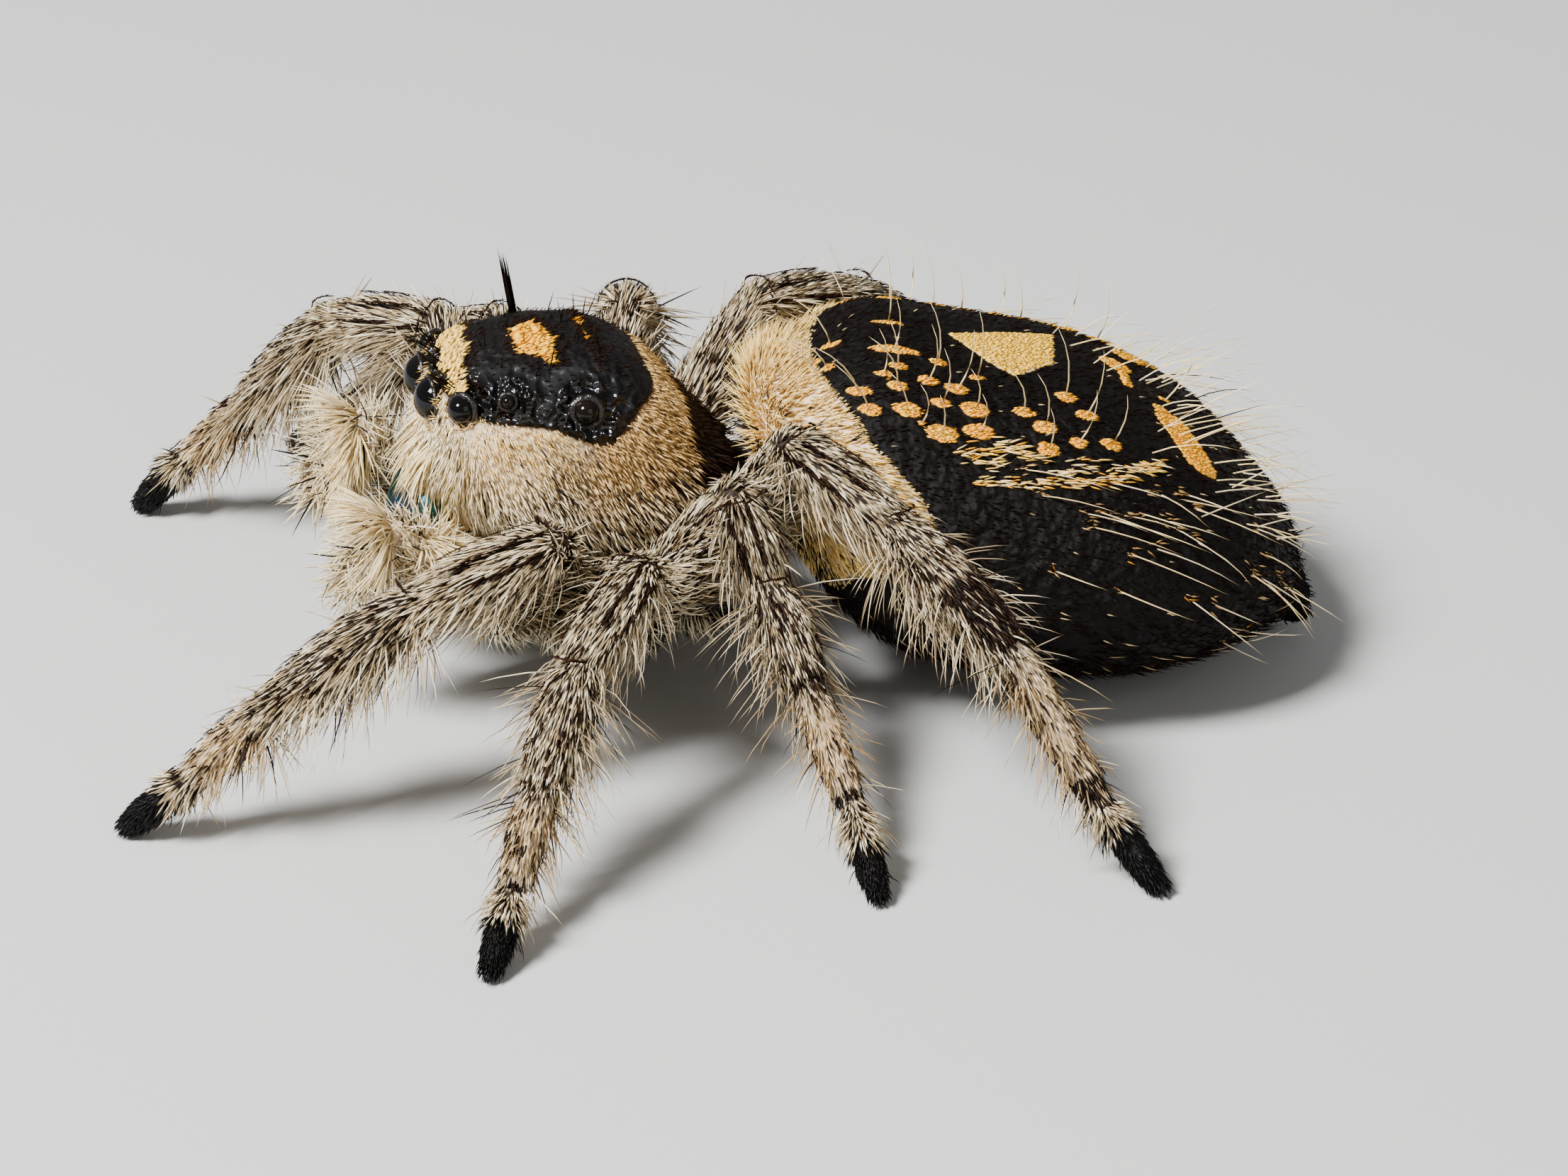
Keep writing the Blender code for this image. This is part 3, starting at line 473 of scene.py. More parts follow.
def markings(points, part):
    # dark, orange, cream and tan at each point; the first three are distances in from an edge
    kind, segment = kinds[part], segments[part]
    x, y, z = points.T
    dark, orange, cream = np.full((3, len(points)), -0.5)
    tan = np.zeros(len(points))

    here = kind == "head"
    cap = np.minimum(z - curveAt(headMarks["capLow"], y), headMarks["capRear"] + 0.12 * np.abs(x) - y)
    band = headMarks["browBand"]
    stripe = np.minimum.reduce((band["half"] - np.abs(y - band["y"] - band["slant"] * x),
                                band["reach"] - np.abs(x), z - band["above"]))
    spots = np.maximum.reduce((insideOval(x, y, *headMarks["capSpot"]),
                               insideOval(x, y, *headMarks["faintSpot"]),
                               headMarks["tailHalf"] - distanceToLine(x, y, *headMarks["tail"])))
    warm = step(y, headMarks["tanFrom"], headMarks["tanTo"]) * step(z, *headMarks["tanLow"])
    dark[here] = np.maximum(cap, y - headMarks["nape"])[here]
    cream[here] = stripe[here]
    orange[here] = np.where(z > headMarks["capTop"], spots, -1.0)[here]
    tan[here] = np.maximum(warm, headMarks["sideTan"] * step(z, 2.9, 3.7))[here]

    here = np.isin(kind, ("abdomen", "spinneret", "waist"))
    back, aside, angle, edge = abdomenPlace(points)
    dark[here] = np.where(kind == "abdomen", -edge, 0.5)[here]
    cream[here] = np.where(kind == "abdomen", edge, -0.5)[here]
    glow = np.full(len(points), -1.0)
    pale = np.where(np.abs(angle) < 45, insidePolygon(back, aside, abdomenMarks["triangle"]), -1.0)
    perDegree = abdomenMarks["perDegree"]
    for back0, angle0, half, wide, paleness in abdomenMarks["cups"]:
        cup = insideOval(back, angle * perDegree, (back0, angle0 * perDegree), (half - 0.025, wide))
        glow = np.maximum(glow, cup)
        pale = np.maximum(pale, cup - 0.12 * (1 - paleness))
    for *ends, wide in abdomenMarks["bars"]:
        glow = np.maximum(glow, wide - distanceToLine(back, aside, *ends))
    onTop = (kind == "abdomen") & (z > abdomenMarks["marksAbove"])
    orange[onTop] = glow[onTop]
    cream[onTop] = np.maximum(cream, pale)[onTop]
    tan[onTop] = np.where(edge > 0.0, 0.3, 1.0)[onTop]

    here = np.isin(kind, ("leg", "palp"))
    along, around = limbPlace(points, part)
    size = lengths[part]
    # four thin dark lines run down the knee piece
    stripe = np.abs(np.abs(np.abs(around) - kneeStripes["middle"]) - kneeStripes["apart"]) * 0.40
    stripe = kneeStripes["half"] - stripe - 0.03 * step(np.abs(along - 0.36), 0.2, 0.42)
    foot = np.where(segment == 4, along * size - footStarts[part], -0.5)
    marks = np.maximum(np.where(segment == 1, stripe, -0.5), foot)
    for number, bands in legShape["bands"].items():
        for where, low, high, reach in bands:
            inside = np.minimum.reduce(((along - low) * size, (high - along) * size,
                                        (reach - np.abs(around)) * 0.35))
            mine = (legNumbers[part] == number) & (segment == where)
            marks = np.where(mine, np.maximum(marks, inside), marks)
    dark[here] = np.where(kind == "palp", -0.5, marks)[here]
    tan[here] = np.where(segment == 3, 0.55 * step(np.abs(along - 0.5), 0.45, 0.2), 0.0)[here]
    cream[kind == "palp"] = 0.02
    dark[np.isin(kind, ("breast", "hip"))] = 0.0
    return dark, orange, cream, tan


def giveVector(mesh, name, values):
    attribute = mesh.attributes.new(name, "FLOAT_VECTOR", "POINT")
    attribute.data.foreach_set("vector", np.ascontiguousarray(values, dtype=np.float32).ravel())


dark, orange, cream, tan = markings(skinPoints, skinPart)
giveVector(skinMesh, "marks", np.column_stack((dark, orange, cream)))
isHead = kinds[skinPart] == "head"
isFootpiece = (kinds[skinPart] == "leg") & (segments[skinPart] == 3)
ahead = -skinPoints[:, 1]
under = curveAt(headMarks["capLow"], skinPoints[:, 1]) - skinPoints[:, 2]  # how far under the cap's edge
front = step(ahead, 2.9, 3.7)
# how much pale skin shows between the hairs
bareness = isHead * step(ahead, 2.4, 3.2) * step(under, 0.02, 0.10)
bareness = bareness * step(-under, -0.55 - 0.75 * front, -0.20 - 0.45 * front) * 0.85
bareness = np.maximum(bareness, isFootpiece * 0.42)
gloss = isHead * (dark > 0.0) * (0.05 + 0.95 * step(-clearOfEyes(skinPoints), -0.60, -0.20))
giveVector(skinMesh, "strand", np.column_stack((bareness, gloss, tan)))
print("markings laid on the skin")


# Finishes

class Wire:
    # a socket that can be reckoned with
    def __init__(self, tree, socket):
        self.tree, self.socket = tree, socket

    def maths(self, operation, first, second):
        node = self.tree.nodes.new("ShaderNodeMath")
        node.operation = operation
        for slot, value in zip(node.inputs, (first, second)):
            plug(self.tree, slot, value)
        return Wire(self.tree, node.outputs[0])

    def __add__(self, other):
        return self.maths("ADD", self, other)

    def __radd__(self, other):
        return self.maths("ADD", other, self)

    def __sub__(self, other):
        return self.maths("SUBTRACT", self, other)

    def __rsub__(self, other):
        return self.maths("SUBTRACT", other, self)

    def __mul__(self, other):
        return self.maths("MULTIPLY", self, other)

    def __rmul__(self, other):
        return self.maths("MULTIPLY", other, self)

    def __truediv__(self, other):
        return self.maths("DIVIDE", self, other)


def plug(tree, slot, value):
    if isinstance(value, Wire):
        tree.links.new(value.socket, slot)
    elif isinstance(value, tuple) and slot.type == "RGBA" and len(value) == 3:
        slot.default_value = (*value, 1.0)
    else:
        slot.default_value = value


class Finish:
    # a material whose shader and nodes are set by name
    def __init__(self, name, **fixed):
        self.material = bpy.data.materials.new(name)
        self.material.use_nodes = True
        self.tree = self.material.node_tree
        self.shader = self.tree.nodes["Principled BSDF"]
        self.give(**fixed)
        self.place = self.node("TexCoord", None, None, "Object")

    def node(self, kind, settings=None, sockets=None, out=0):
        node = self.tree.nodes.new("ShaderNode" + kind)
        for key, value in (settings or {}).items():
            if key == "stops":
                ramp = node.color_ramp
                while len(ramp.elements) < len(value):
                    ramp.elements.new(0.5)
                for element, (place, colour) in zip(ramp.elements, value):
                    element.position, element.color = place, (*colour, 1.0)
            else:
                setattr(node, key, value)
        for key, value in (sockets or {}).items():
            plug(self.tree, node.inputs[key], value)
        return Wire(self.tree, node.outputs[out])

    def noise(self, scale, detail):
        return self.node("TexNoise", None, {"Vector": self.place, "Scale": scale, "Detail": detail})

    def pits(self, scale):
        return self.node("TexVoronoi", None, {"Vector": self.place, "Scale": scale})

    def bump(self, height, strength, distance):
        return self.node("Bump", None, {"Strength": strength, "Distance": distance, "Height": height})

    def mix(self, share, first, second, blend="MIX"):
        # colour sockets of a Mix node are numbers 6 and 7, its colour result is number 2
        return self.node("Mix", {"data_type": "RGBA", "blend_type": blend},
                         {0: share, 6: first, 7: second}, 2)

    def clamp(self, value):
        return self.node("Clamp", None, {"Value": value, "Min": 0.0, "Max": 1.0})

    def threeOf(self, attribute):
        # the three numbers of a vector attribute
        vector = self.node("Attribute", {"attribute_name": attribute}, None, "Vector")
        split = self.node("SeparateXYZ", None, {0: vector}).socket.node
        return [Wire(self.tree, socket) for socket in split.outputs]

    def give(self, **values):
        for socket, value in values.items():
            plug(self.tree, self.shader.inputs[socket.replace("_", " ")], value)
        return self.material


tones = {  # linear colours of the coat and of the skin under it
    "pale": (0.94, 0.83, 0.59), "tan": (0.93, 0.63, 0.25), "black": (0.0026, 0.0020, 0.0018),
    "brown": (0.026, 0.012, 0.007), "cream": (1.0, 0.83, 0.48), "yellow": (1.0, 0.61, 0.05),
    "orange": (1.0, 0.42, 0.0),
    "skin": (0.026, 0.017, 0.012), "skinCream": (0.80, 0.62, 0.42), "skinOrange": (0.80, 0.32, 0.02),
    "skinTan": (0.15, 0.085, 0.034), "skinBlack": (0.0026, 0.0018, 0.0015), "wet": (0.055, 0.055, 0.058),
    # dim is the random dimness of a hair; the root tone is painted shade toward each hair's root, partly the
    # hair's own darker base
    "dim": (0.40, 0.33, 0.25), "paintedRootShade": (0.26, 0.20, 0.14), "full": (1.0, 1.0, 1.0),
}


def coatColour(finish, isSkin):
    # the colour, and the dark marking and the second strand value that the finishes also use
    distances = finish.threeOf("marks")
    shade, reach, warmth = finish.threeOf("strand")
    wobble = (finish.noise(9000.0, 3.0) - 0.5) * 0.12 if isSkin else 0.0
    softness = 0.03 if isSkin else 0.004
    black, gold, pale = (finish.clamp((d + wobble) / softness + 0.5) for d in distances)
    if isSkin:
        ground = finish.mix(warmth, tones["skin"], tones["skinTan"])
        mottle = finish.clamp(finish.noise(5200.0, 4.0) * 1.4 - 0.45) * 0.4
        for share, tone in ((shade, "skinCream"), (black, "skinBlack"), (pale, "skinCream"),
                            (gold, "skinOrange"),
                            (mottle, "skinBlack")):
            ground = finish.mix(share, ground, tones[tone])
        return ground, black, reach
    ground = finish.mix(warmth, tones["pale"], tones["tan"])
    ground = finish.mix(black, ground, finish.mix(warmth, tones["black"], tones["brown"]))
    ground = finish.mix(pale, ground, finish.mix(warmth, tones["cream"], tones["yellow"]))
    ground = finish.mix(gold, ground, tones["orange"])
    # some hairs are dimmer than others at random; each is painted darker toward its root, partly its own
    # darker base and partly painted shade among the hairs
    for share, tone in ((shade, "dim"), (reach * 2.0, "paintedRootShade")):
        dimmed = finish.mix(finish.clamp(share), tones[tone], tones["full"])
        ground = finish.mix(1.0, ground, dimmed, "MULTIPLY")
    return ground, black, reach


def skinFinish():
    finish = Finish("spiderSkin", Specular_IOR_Level=0.10)
    colour, black, gloss = coatColour(finish, True)
    grain = finish.noise(22000.0, 3.0)
    fine = (finish.pits(12000.0) * 0.3 + grain * 0.15) * (1.0 - gloss * 0.9)
    height = fine + finish.noise(5000.0, 1.0) * (0.4 + black * 1.6 + gloss * 7.0)
    return finish.give(Base_Color=finish.mix(gloss, colour, tones["wet"]),
                       Roughness=0.62 - gloss * 0.42 + grain * 0.06,
                       Normal=finish.bump(height, 1.0, 0.00006), Metallic=gloss)


def hairFinish(name, shine, roughness, blackRoughness):
    finish = Finish(name, Specular_IOR_Level=shine)
    colour, black, _ = coatColour(finish, False)
    return finish.give(Base_Color=colour, Roughness=roughness + black * blackRoughness)


skinMaterial = skinFinish()
coatMaterial = hairFinish("spiderCoat", 0.15, 0.55, -0.1)
velvetMaterial = hairFinish("spiderVelvet", 0.03, 0.5, 0.1)
print("skin and coat finishes made")


# Hair

def hairTemplate(rings):
    # one three-sided hair of unit height, cut across at the rings; x and y are its half width
    bm = bmesh.new()
    bmesh.ops.create_cone(bm, cap_ends=True, cap_tris=False, segments=3, radius1=1.0, radius2=0.0, depth=1.0)
    bmesh.ops.translate(bm, verts=bm.verts, vec=(0, 0, 0.5))
    for place, _ in rings[1:]:
        geometry = bm.verts[:] + bm.edges[:] + bm.faces[:]
        bmesh.ops.bisect_plane(bm, geom=geometry, dist=1e-5, plane_co=(0, 0, place), plane_no=(0, 0, 1))
    bmesh.ops.remove_doubles(bm, verts=bm.verts, dist=1e-5)
    bmesh.ops.triangulate(bm, faces=bm.faces)
    bmesh.ops.recalc_face_normals(bm, faces=bm.faces)
    for vert in bm.verts:
        width = min(rings, key=lambda row: abs(row[0] - vert.co.z))[1] if vert.co.z < 0.999 else 0.0
        flat = max(math.hypot(vert.co.x, vert.co.y), 1e-9)
        vert.co.x *= width / flat
        vert.co.y *= width / flat
    bm.verts.index_update()
    return (np.array([vert.co[:] for vert in bm.verts]),
            np.array([[v.index for v in face.verts] for face in bm.faces]))


longHair = hairTemplate(((0.0, 1.0), (0.4, 0.95), (0.75, 0.62)))
shortHair = hairTemplate(((0.0, 1.0), (0.55, 0.8)))
bristleHair = hairTemplate(((0.0, 1.0), (0.25, 0.92), (0.5, 0.78), (0.75, 0.5)))
hairLook = {"control": 0.05, "tip": 0.035, "flat": 0.55, "bristleFlat": 0.8, "patch": 0.003}


def growHair(name, slot, template, roots, normals, lies, length, width, rise, curl, marks, shade, uv,
             noRootShade=0.0, keep=slice(None)):
    # every hair starts under the skin, rises from its lie and bends over toward it; angles are in degrees
    points, faces = template
    columns = [np.broadcast_to(np.asarray(v, float), len(roots))[:, None]
               for v in (length, width, np.radians(rise), np.radians(curl), *marks, shade, noRootShade)]
    roots, normals, lies, uv, length, width, rise, curl, dark, orange, cream, tan, shade, noRootShade = (
        v[keep] for v in (roots, normals, lies, uv, *columns))
    count, corners = len(roots), len(points)
    across, deep, tall = points.T[:, None, :, None]
    flat = hairLook["bristleFlat" if template is bristleHair else "flat"]
    lies = unit(lies - normals * dot(lies, normals)[:, None])
    first, second = (unit(normals * np.sin(turn) + lies * np.cos(turn)) for turn in (rise, rise - curl))
    start = roots - normals * np.minimum(0.05, 0.012 + 0.25 * length * np.sin(np.maximum(rise, 0.0)))
    control = roots + first * (length * 0.5)
    end = control + second * (length * 0.5)
    control[:, 2] = np.maximum(control[:, 2], hairLook["control"])  # no hair goes through the floor
    end[:, 2] = np.maximum(end[:, 2], hairLook["tip"])
    middle = (start[:, None] * (1 - tall) ** 2 + control[:, None] * (2 * tall * (1 - tall))
              + end[:, None] * tall**2)
    run = unit((control - start)[:, None] * (1 - tall) + (end - control)[:, None] * tall)
    side = unit(np.cross(run, normals[:, None]))
    half = (width / 2)[:, None]
    places = middle + side * across * half + np.cross(side, run) * deep * half * flat
    mesh = bpy.data.meshes.new(name)
    mesh.vertices.add(count * corners)
    mesh.vertices.foreach_set("co", places.astype(np.float32).ravel())
    triangles = (faces[None] + (np.arange(count) * corners)[:, None, None]).reshape(-1, 3)
    mesh.loops.add(triangles.size)
    mesh.loops.foreach_set("vertex_index", triangles.astype(np.int32).ravel())
    mesh.polygons.add(len(triangles))
    mesh.polygons.foreach_set("loop_start", np.arange(0, triangles.size, 3, dtype=np.int32))
    mesh.update(calc_edges=True)
    giveVector(mesh, "marks", np.repeat(np.hstack((dark, orange, cream)), corners, axis=0))
    tip = points[:, 2][None]
    # the second strand value runs up the hair and sets its painted root shade; hairs lifted by the last
    # argument start halfway and show none
    strand = np.broadcast_arrays(shade, tip + 0.5 * noRootShade, tan)
    giveVector(mesh, "strand", np.stack(strand, axis=2).reshape(-1, 3))
    # a patch for each hair, at its root's place on the unwrapped skin
    patch = hairLook["patch"]
    spread = np.stack((uv[:, :1] + patch * (tip - 0.5), uv[:, 1:] + patch / 2 * points[:, 0][None]), axis=2)
    layer = mesh.uv_layers.new(name="OFBake")
    layer.data.foreach_set("uv", spread.reshape(-1, 2)[triangles.ravel()].astype(np.float32).ravel())
    piece = toFrame(pieceOf(name, mesh), coatMaterial if slot == "coat" else velvetMaterial)
    print("coat:", name, count, "hairs,", len(triangles), "triangles")


# the skin as triangles, from which roots are drawn
skinMesh.calc_loop_triangles()
triangleCorners = readArray(skinMesh.loop_triangles, "vertices", np.int32)
vertexNormals = readArray(skinMesh.vertices, "normal")
cornerA, cornerB, cornerC = (skinPoints[triangleCorners[:, i]] for i in range(3))
triangleAreas = np.linalg.norm(np.cross(cornerB - cornerA, cornerC - cornerA), axis=1) / 2
triangleMiddles = (cornerA + cornerB + cornerC) / 3
trianglePart = skinPart[triangleCorners[:, 0]]
triangleKind, triangleSegment = kinds[trianglePart], segments[trianglePart]
triangleAlong, triangleAround = limbPlace(triangleMiddles, trianglePart)
triangleEdge = abdomenPlace(triangleMiddles)[3]
_, triangleOrange, triangleCream, _ = markings(triangleMiddles, trianglePart)
triangleMark = np.maximum(triangleOrange, triangleCream)
triangleUnder = curveAt(headMarks["capLow"], triangleMiddles[:, 1]) - triangleMiddles[:, 2]
triangleOnCap = ((triangleKind == "head") & (triangleUnder < 0.0)
                 & (triangleMiddles[:, 1] < headMarks["capRear"]))


def sow(chosen, density, eyeGap=None):
    # roots spread over the chosen triangles, so many to the square millimetre, and clear of the eyes
    picked = np.flatnonzero(chosen)
    thick = np.broadcast_to(density, len(triangleAreas))[picked]
    counts = np.floor(triangleAreas[picked] * thick + chance.random(len(picked))).astype(int)
    which = np.repeat(picked, counts)
    a, b = chance.random(len(which)), chance.random(len(which))
    over = a + b > 1
    a[over], b[over] = 1 - a[over], 1 - b[over]
    corners = triangleCorners[which]
    weights = np.column_stack((1 - a - b, a, b))
    roots = np.einsum("ij,ijk->ik", weights, skinPoints[corners])
    normals = unit(np.einsum("ij,ijk->ik", weights, vertexNormals[corners]))
    clear = slice(None) if eyeGap is None else clearOfEyes(roots) > eyeGap
    return roots[clear], normals[clear], trianglePart[which][clear]


def jitter(vectors, amount):
    return unit(vectors) + chance.normal(0, amount, vectors.shape)


def backward(count, lift, amount):
    # lies that run back along the abdomen
    return jitter(np.tile(abdomenAhead + upward * lift, (count, 1)), amount)


legCoat = {  # short hair that lies flat, one value for each segment from femur to tarsus
    "density": (390, 480, 450, 390, 600), "length": (0.31, 0.28, 0.28, 0.23, 0.16), "width": 0.036,
    "rise": 10.0,
    "blackShare": (0.20, 0.12, 0.23, 0.16, 0.12), "overJoint": 0.20, "jointRise": 14.0, "curl": 9.0,
    "droop": -0.30, "jitter": 0.09, "paintedShade": 0.0,
}
legFringe = {  # long hair along the sides and under the leg
    "density": (90, 100, 130, 115, 40), "length": (0.64, 0.74, 0.76, 0.60, 0.22), "width": 0.031,
    "rise": (24, 58),
    "blackShare": (0.08, 0.06, 0.08, 0.10, 0.10), "curl": (14, 56), "stiffShare": 0.45,
    # the fringe is painted a little darker: painted shade under the leg
    "droop": -0.45, "jitter": 0.15, "paintedShade": 0.10,
}
# dark hairs that lie on the coat: a line across each joint, stripes on the knee piece, short dashes
legLines = {
    "height": 0.066, "reach": {1: 1.35, 2: 0.55, 3: 0.0}, "stripes": (0.42, 1.12), "width": 0.032,
    "dashes": (32, 12, 42, 30, 0), "dashLength": 0.18, "jointLift": 0.035, "lean": 1.719,
}


def forSegment(values, segment):
    return np.take(values, segment, mode="clip")


def roundUnwrap(along, around):
    # a strip of the unwrapped skin: both values run from 0 to 1
    return np.column_stack((0.02 + 0.96 * along, 0.02 + 0.96 * around))


def legUnwrap(number, segment, along, around, part):
    total = np.cumsum((0,) + legShape["lengths"][number])
    reach = (total[segment] + np.clip(along, 0, 1) * lengths[part]) / total[-1]
    return roundUnwrap(reach, (around + math.pi) / (2 * math.pi))


def growLeg(side, number, mine):
    for look, title, template in ((legCoat, "coat", shortHair), (legFringe, "fringe", longHair)):
        isFringe = look is legFringe
        density = forSegment(look["density"], triangleSegment)
        if isFringe:
            density = density * (0.05 + 0.95 * step(np.abs(triangleAround), 0.8, 1.6))
        else:
            density = density * (1 + 0.7 * step(-triangleAlong * lengths[trianglePart], -0.16, -0.04))
        roots, normals, part = sow(mine, density)
        count, segment, size = len(roots), segments[part], lengths[part]
        along, around = limbPlace(roots, part)
        low = step(np.abs(around), 0.5, 1.6)
        isShin = (segment == 2) | (segment == 3)
        length = forSegment(look["length"], segment) * chance.uniform(0.65, 1.3, count)
        if isFringe:
            # it stands up in a burst where a segment starts
            start = step(-along * size, -0.40, -0.05) * (segment > 0)
            length = (length * (0.55 + 0.45 * low)
                      * (1 + (0.30 + 0.25 * (segment == 3)) * start * (segment > 1)))
            rise = chance.uniform(*look["rise"], count) + (16 + 8 * (segment == 3)) * start
            curl = chance.uniform(*look["curl"], count)
            stiff = (chance.random(count) < look["stiffShare"]) & isShin
            rise, length, curl = rise + 14 * stiff, length * (1 + 0.08 * stiff), curl * (1 - 0.65 * stiff)
        else:
            # flat hair stops at the joint, so the line across it shows, and stands up there to hide the skin
            room = np.maximum((1 - along) * size + 0.05, look["overJoint"])
            length = np.where(segment < 4, np.minimum(length, room), length)
            nearJoint = step(-np.minimum(along, 1 - along) * size, -0.24, -0.04)
            rise = look["rise"] + chance.normal(0, 4, count) + 8 * low + look["jointRise"] * nearJoint
            curl = look["curl"]
        lies = jitter(ways[part] + np.outer(low, upward * look["droop"]), look["jitter"])
        dark, orange, cream, tan = markings(roots + lies * (length * 0.4)[:, None], part)
        isBlack = chance.random(count) < forSegment(look["blackShare"], segment)
        dark = dark + chance.normal(0, 1, count) * np.where(segment == 4, 0.10, 0.008)
        if isFringe:
            dark = np.where(segment < 4, -0.4, dark)
        tuft = (segment == 4) & (along * size < footStarts[part])
        length, rise = length * (1 + 0.6 * tuft), rise + 12 * tuft
        isGrey = (dark > 0) & isShin & (chance.random(count) < 0.24)
        dark = np.where(isBlack & ~tuft, 0.4, np.where(isGrey, -0.4, dark))
        tan = np.where((dark > 0) & (segment < 4), 0.8, tan)
        # random dimness of each hair, with painted shade on the fringe; grey hairs in the dark bands are
        # dimmer
        shade = chance.uniform(-0.5, 1.0, count) - look["paintedShade"] - 0.6 * isGrey
        growHair(f"{title}_leg{number}_{side}", "coat", template, roots, normals, lies, length,
                 look["width"] * chance.uniform(0.75, 1.2, count), rise, curl, (dark, orange, cream, tan),
                 shade, legUnwrap(number, segment, along, around, part),
                 keep=roots[:, 2] + normals[:, 2] * length * 0.5 > 0.03)


def drawLegLines(side, number, mine):
    points = legPoints(side, number)
    height, spots = legLines["height"], []  # a spot has a place, its way out, its lie and its length
    for i, reach in legLines["reach"].items():
        run = points[i + 1] - points[i]
        way, size = np.array(run.normalized()), np.linalg.norm(run)
        sideways = unit(np.cross(way, upward))
        up = np.cross(sideways, way)

        def surface(along, turn, lift=0.0):
            out = sideways * math.sin(turn) + up * math.cos(turn)
            radius = (between(legShape["radii"][i], along / size)[0] * legShape["thickness"][number]
                      - legShape["coat"])
            return np.array(points[i]) + way * along + out * (radius + height + lift), out

        def roundWay(turn):
            return sideways * math.cos(turn) - up * math.sin(turn)

        # the line across the joint wavers
        for turn in np.arange(-reach, reach, 0.10):
            if chance.random() < 0.92:
                along = 0.06 + 0.03 * math.sin(turn * 4 + i) + chance.normal(0, 0.007)
                lie = roundWay(turn) + way * chance.normal(0, 0.10)
                spots.append((*surface(along, turn, legLines["jointLift"]), lie, chance.uniform(0.11, 0.16)))
        for turn in [stripe * sign for stripe in legLines["stripes"] for sign in (1, -1)] if i == 1 else ():
            for along in np.arange(0.10, size * chance.uniform(0.62, 0.80), 0.07):
                if chance.random() < 0.85:
                    spot = surface(along, turn + chance.normal(0, 0.04))
                    lie = way + roundWay(turn) * chance.normal(0, 0.08)
                    spots.append((*spot, lie, chance.uniform(0.13, 0.24)))
    for root, normal, owner in zip(*sow(mine, forSegment(legLines["dashes"], triangleSegment))):
        size = legLines["dashLength"] * chance.uniform(0.6, 1.3)
        spots.append((root + normal * height, normal, ways[owner] + chance.normal(0, 0.10, 3), size))
    places, ups, lies, sizes = (np.array(v) for v in zip(*spots))
    part = partOf(places - ups * height)
    growHair(f"lines_leg{number}_{side}", "black_coat", shortHair, places, ups, lies, sizes,
             legLines["width"],
             legLines["lean"], legLines["lean"], (0.4, -0.4, -0.4, 1.0), 1.0,
             legUnwrap(number, np.clip(segments[part], 0, 4), *limbPlace(places, part), part))


for side, number in legShape["poses"]:
    isMine = np.array([part["kind"] == "leg" and part["leg"] == (side, number)
                       for part in parts])[trianglePart]
    growLeg(side, number, isMine)
    drawLegLines(side, number, isMine)


headHair = {
    "sideDensity": 660, "shortLength": 0.20, "longLength": 0.44, "faceLength": 0.44, "width": 0.029,
    "capDensity": 130, "capLength": 0.10, "bandDensity": 700, "bandLength": 0.13, "bandWidth": 0.066,
    "capWidth": 0.026,
}


def headUnwrap(points):
    around = np.arctan2(points[:, 0], points[:, 2] - 3.4)
    return roundUnwrap((points[:, 1] + 4.8) / 4.6, (around + math.pi) / (2 * math.pi))


def growHeadSide(side, sign):
    nape = headMarks["nape"]
    onSide = (np.isin(triangleKind, ("head", "hip", "breast")) & (triangleMiddles[:, 0] * sign > 0)
              & ~triangleOnCap)
    density = headHair["sideDensity"] * (1 + 0.7 * step(-triangleUnder, -0.7, -0.1))
    density = density * (1 - 0.6 * step(triangleMiddles[:, 1] - nape, 0.0, 0.3))
    roots, normals, part = sow(onSide, density, 0.05)
    x, y, z = roots.T
    count, ones, eyeGap = len(roots), np.ones(len(roots)), clearOfEyes(roots)
    face = step(-y, 3.9, 4.5)  # 1 on the face
    front = step(-y, 2.9, 3.7)
    behind = (step(y, -2.1, -1.5) * step(z, 3.4, 4.0))[:, None]
    below = curveAt(headMarks["capLow"], y) - z
    # combed down and back on the sides, down and forward on the face, up and back behind the cap
    flankLie = np.column_stack((0.15 * np.sign(x), 0.60 * ones, -0.9 * ones))
    faceLie = np.column_stack((0.30 * x, -0.45 * ones, -0.9 * ones))
    napeLie = np.column_stack((0.5 * x, ones, 0.1 * ones))
    lies = flankLie * (1 - face)[:, None] + faceLie * face[:, None]
    lies = jitter(lies * (1 - behind) + napeLie * behind, 0.16)
    lowness = step(below, 0.45, 1.25)
    length = headHair["shortLength"] + (headHair["longLength"] - headHair["shortLength"]) * lowness
    length = np.where(face > 0.5, headHair["faceLength"], length) * chance.uniform(0.65, 1.3, count)
    length = length * (1 + 0.7 * face * step(-z, -3.3, -2.8)) * (0.35 + 0.65 * step(eyeGap, 0.05, 0.5))
    rise = 13 + 22 * lowness + 14 * face + chance.normal(0, 9, count)
    rise = rise * (0.4 + 0.6 * step(eyeGap, 0.05, 0.4))
    dark, orange, cream, tan = markings(roots + lies * (length * 0.4)[:, None], part)
    # more black hairs low on the cheek: partly its own dark hair, partly painted shade between the hairs
    # there
    isBlack = chance.random(count) < 0.03 + 0.28 * lowness * (1 - face) * (1 - 0.7 * front)
    isUnder = (kinds[part] != "head") & (chance.random(count) < 0.30)
    dark = np.where(isBlack | isUnder, 0.4, np.where(y > nape, dark, -0.2))
    high = step(-below, -0.8, -0.2) * step(-y, 2.6, 3.3)
    cream = np.where((chance.random(count) < 0.55 * np.maximum(face, high)) & ~isBlack, 0.1, -0.1)
    # face and front hair is painted brighter and without root shade: partly its own paler tone, partly
    # painted light on the shaded face
    growHair("coat_head_" + side, "coat", shortHair, roots, normals, lies, length,
             headHair["width"] * chance.uniform(0.75, 1.25, count), rise,
             chance.uniform(8, 24, count) + 22 * lowness, (dark, orange, cream, tan * (1 - face)),
             np.clip(chance.uniform(0.0, 1.0, count) + 0.5 * np.maximum(face, front), 0, 1),
             headUnwrap(roots),
             np.maximum(face, 0.5 * front))


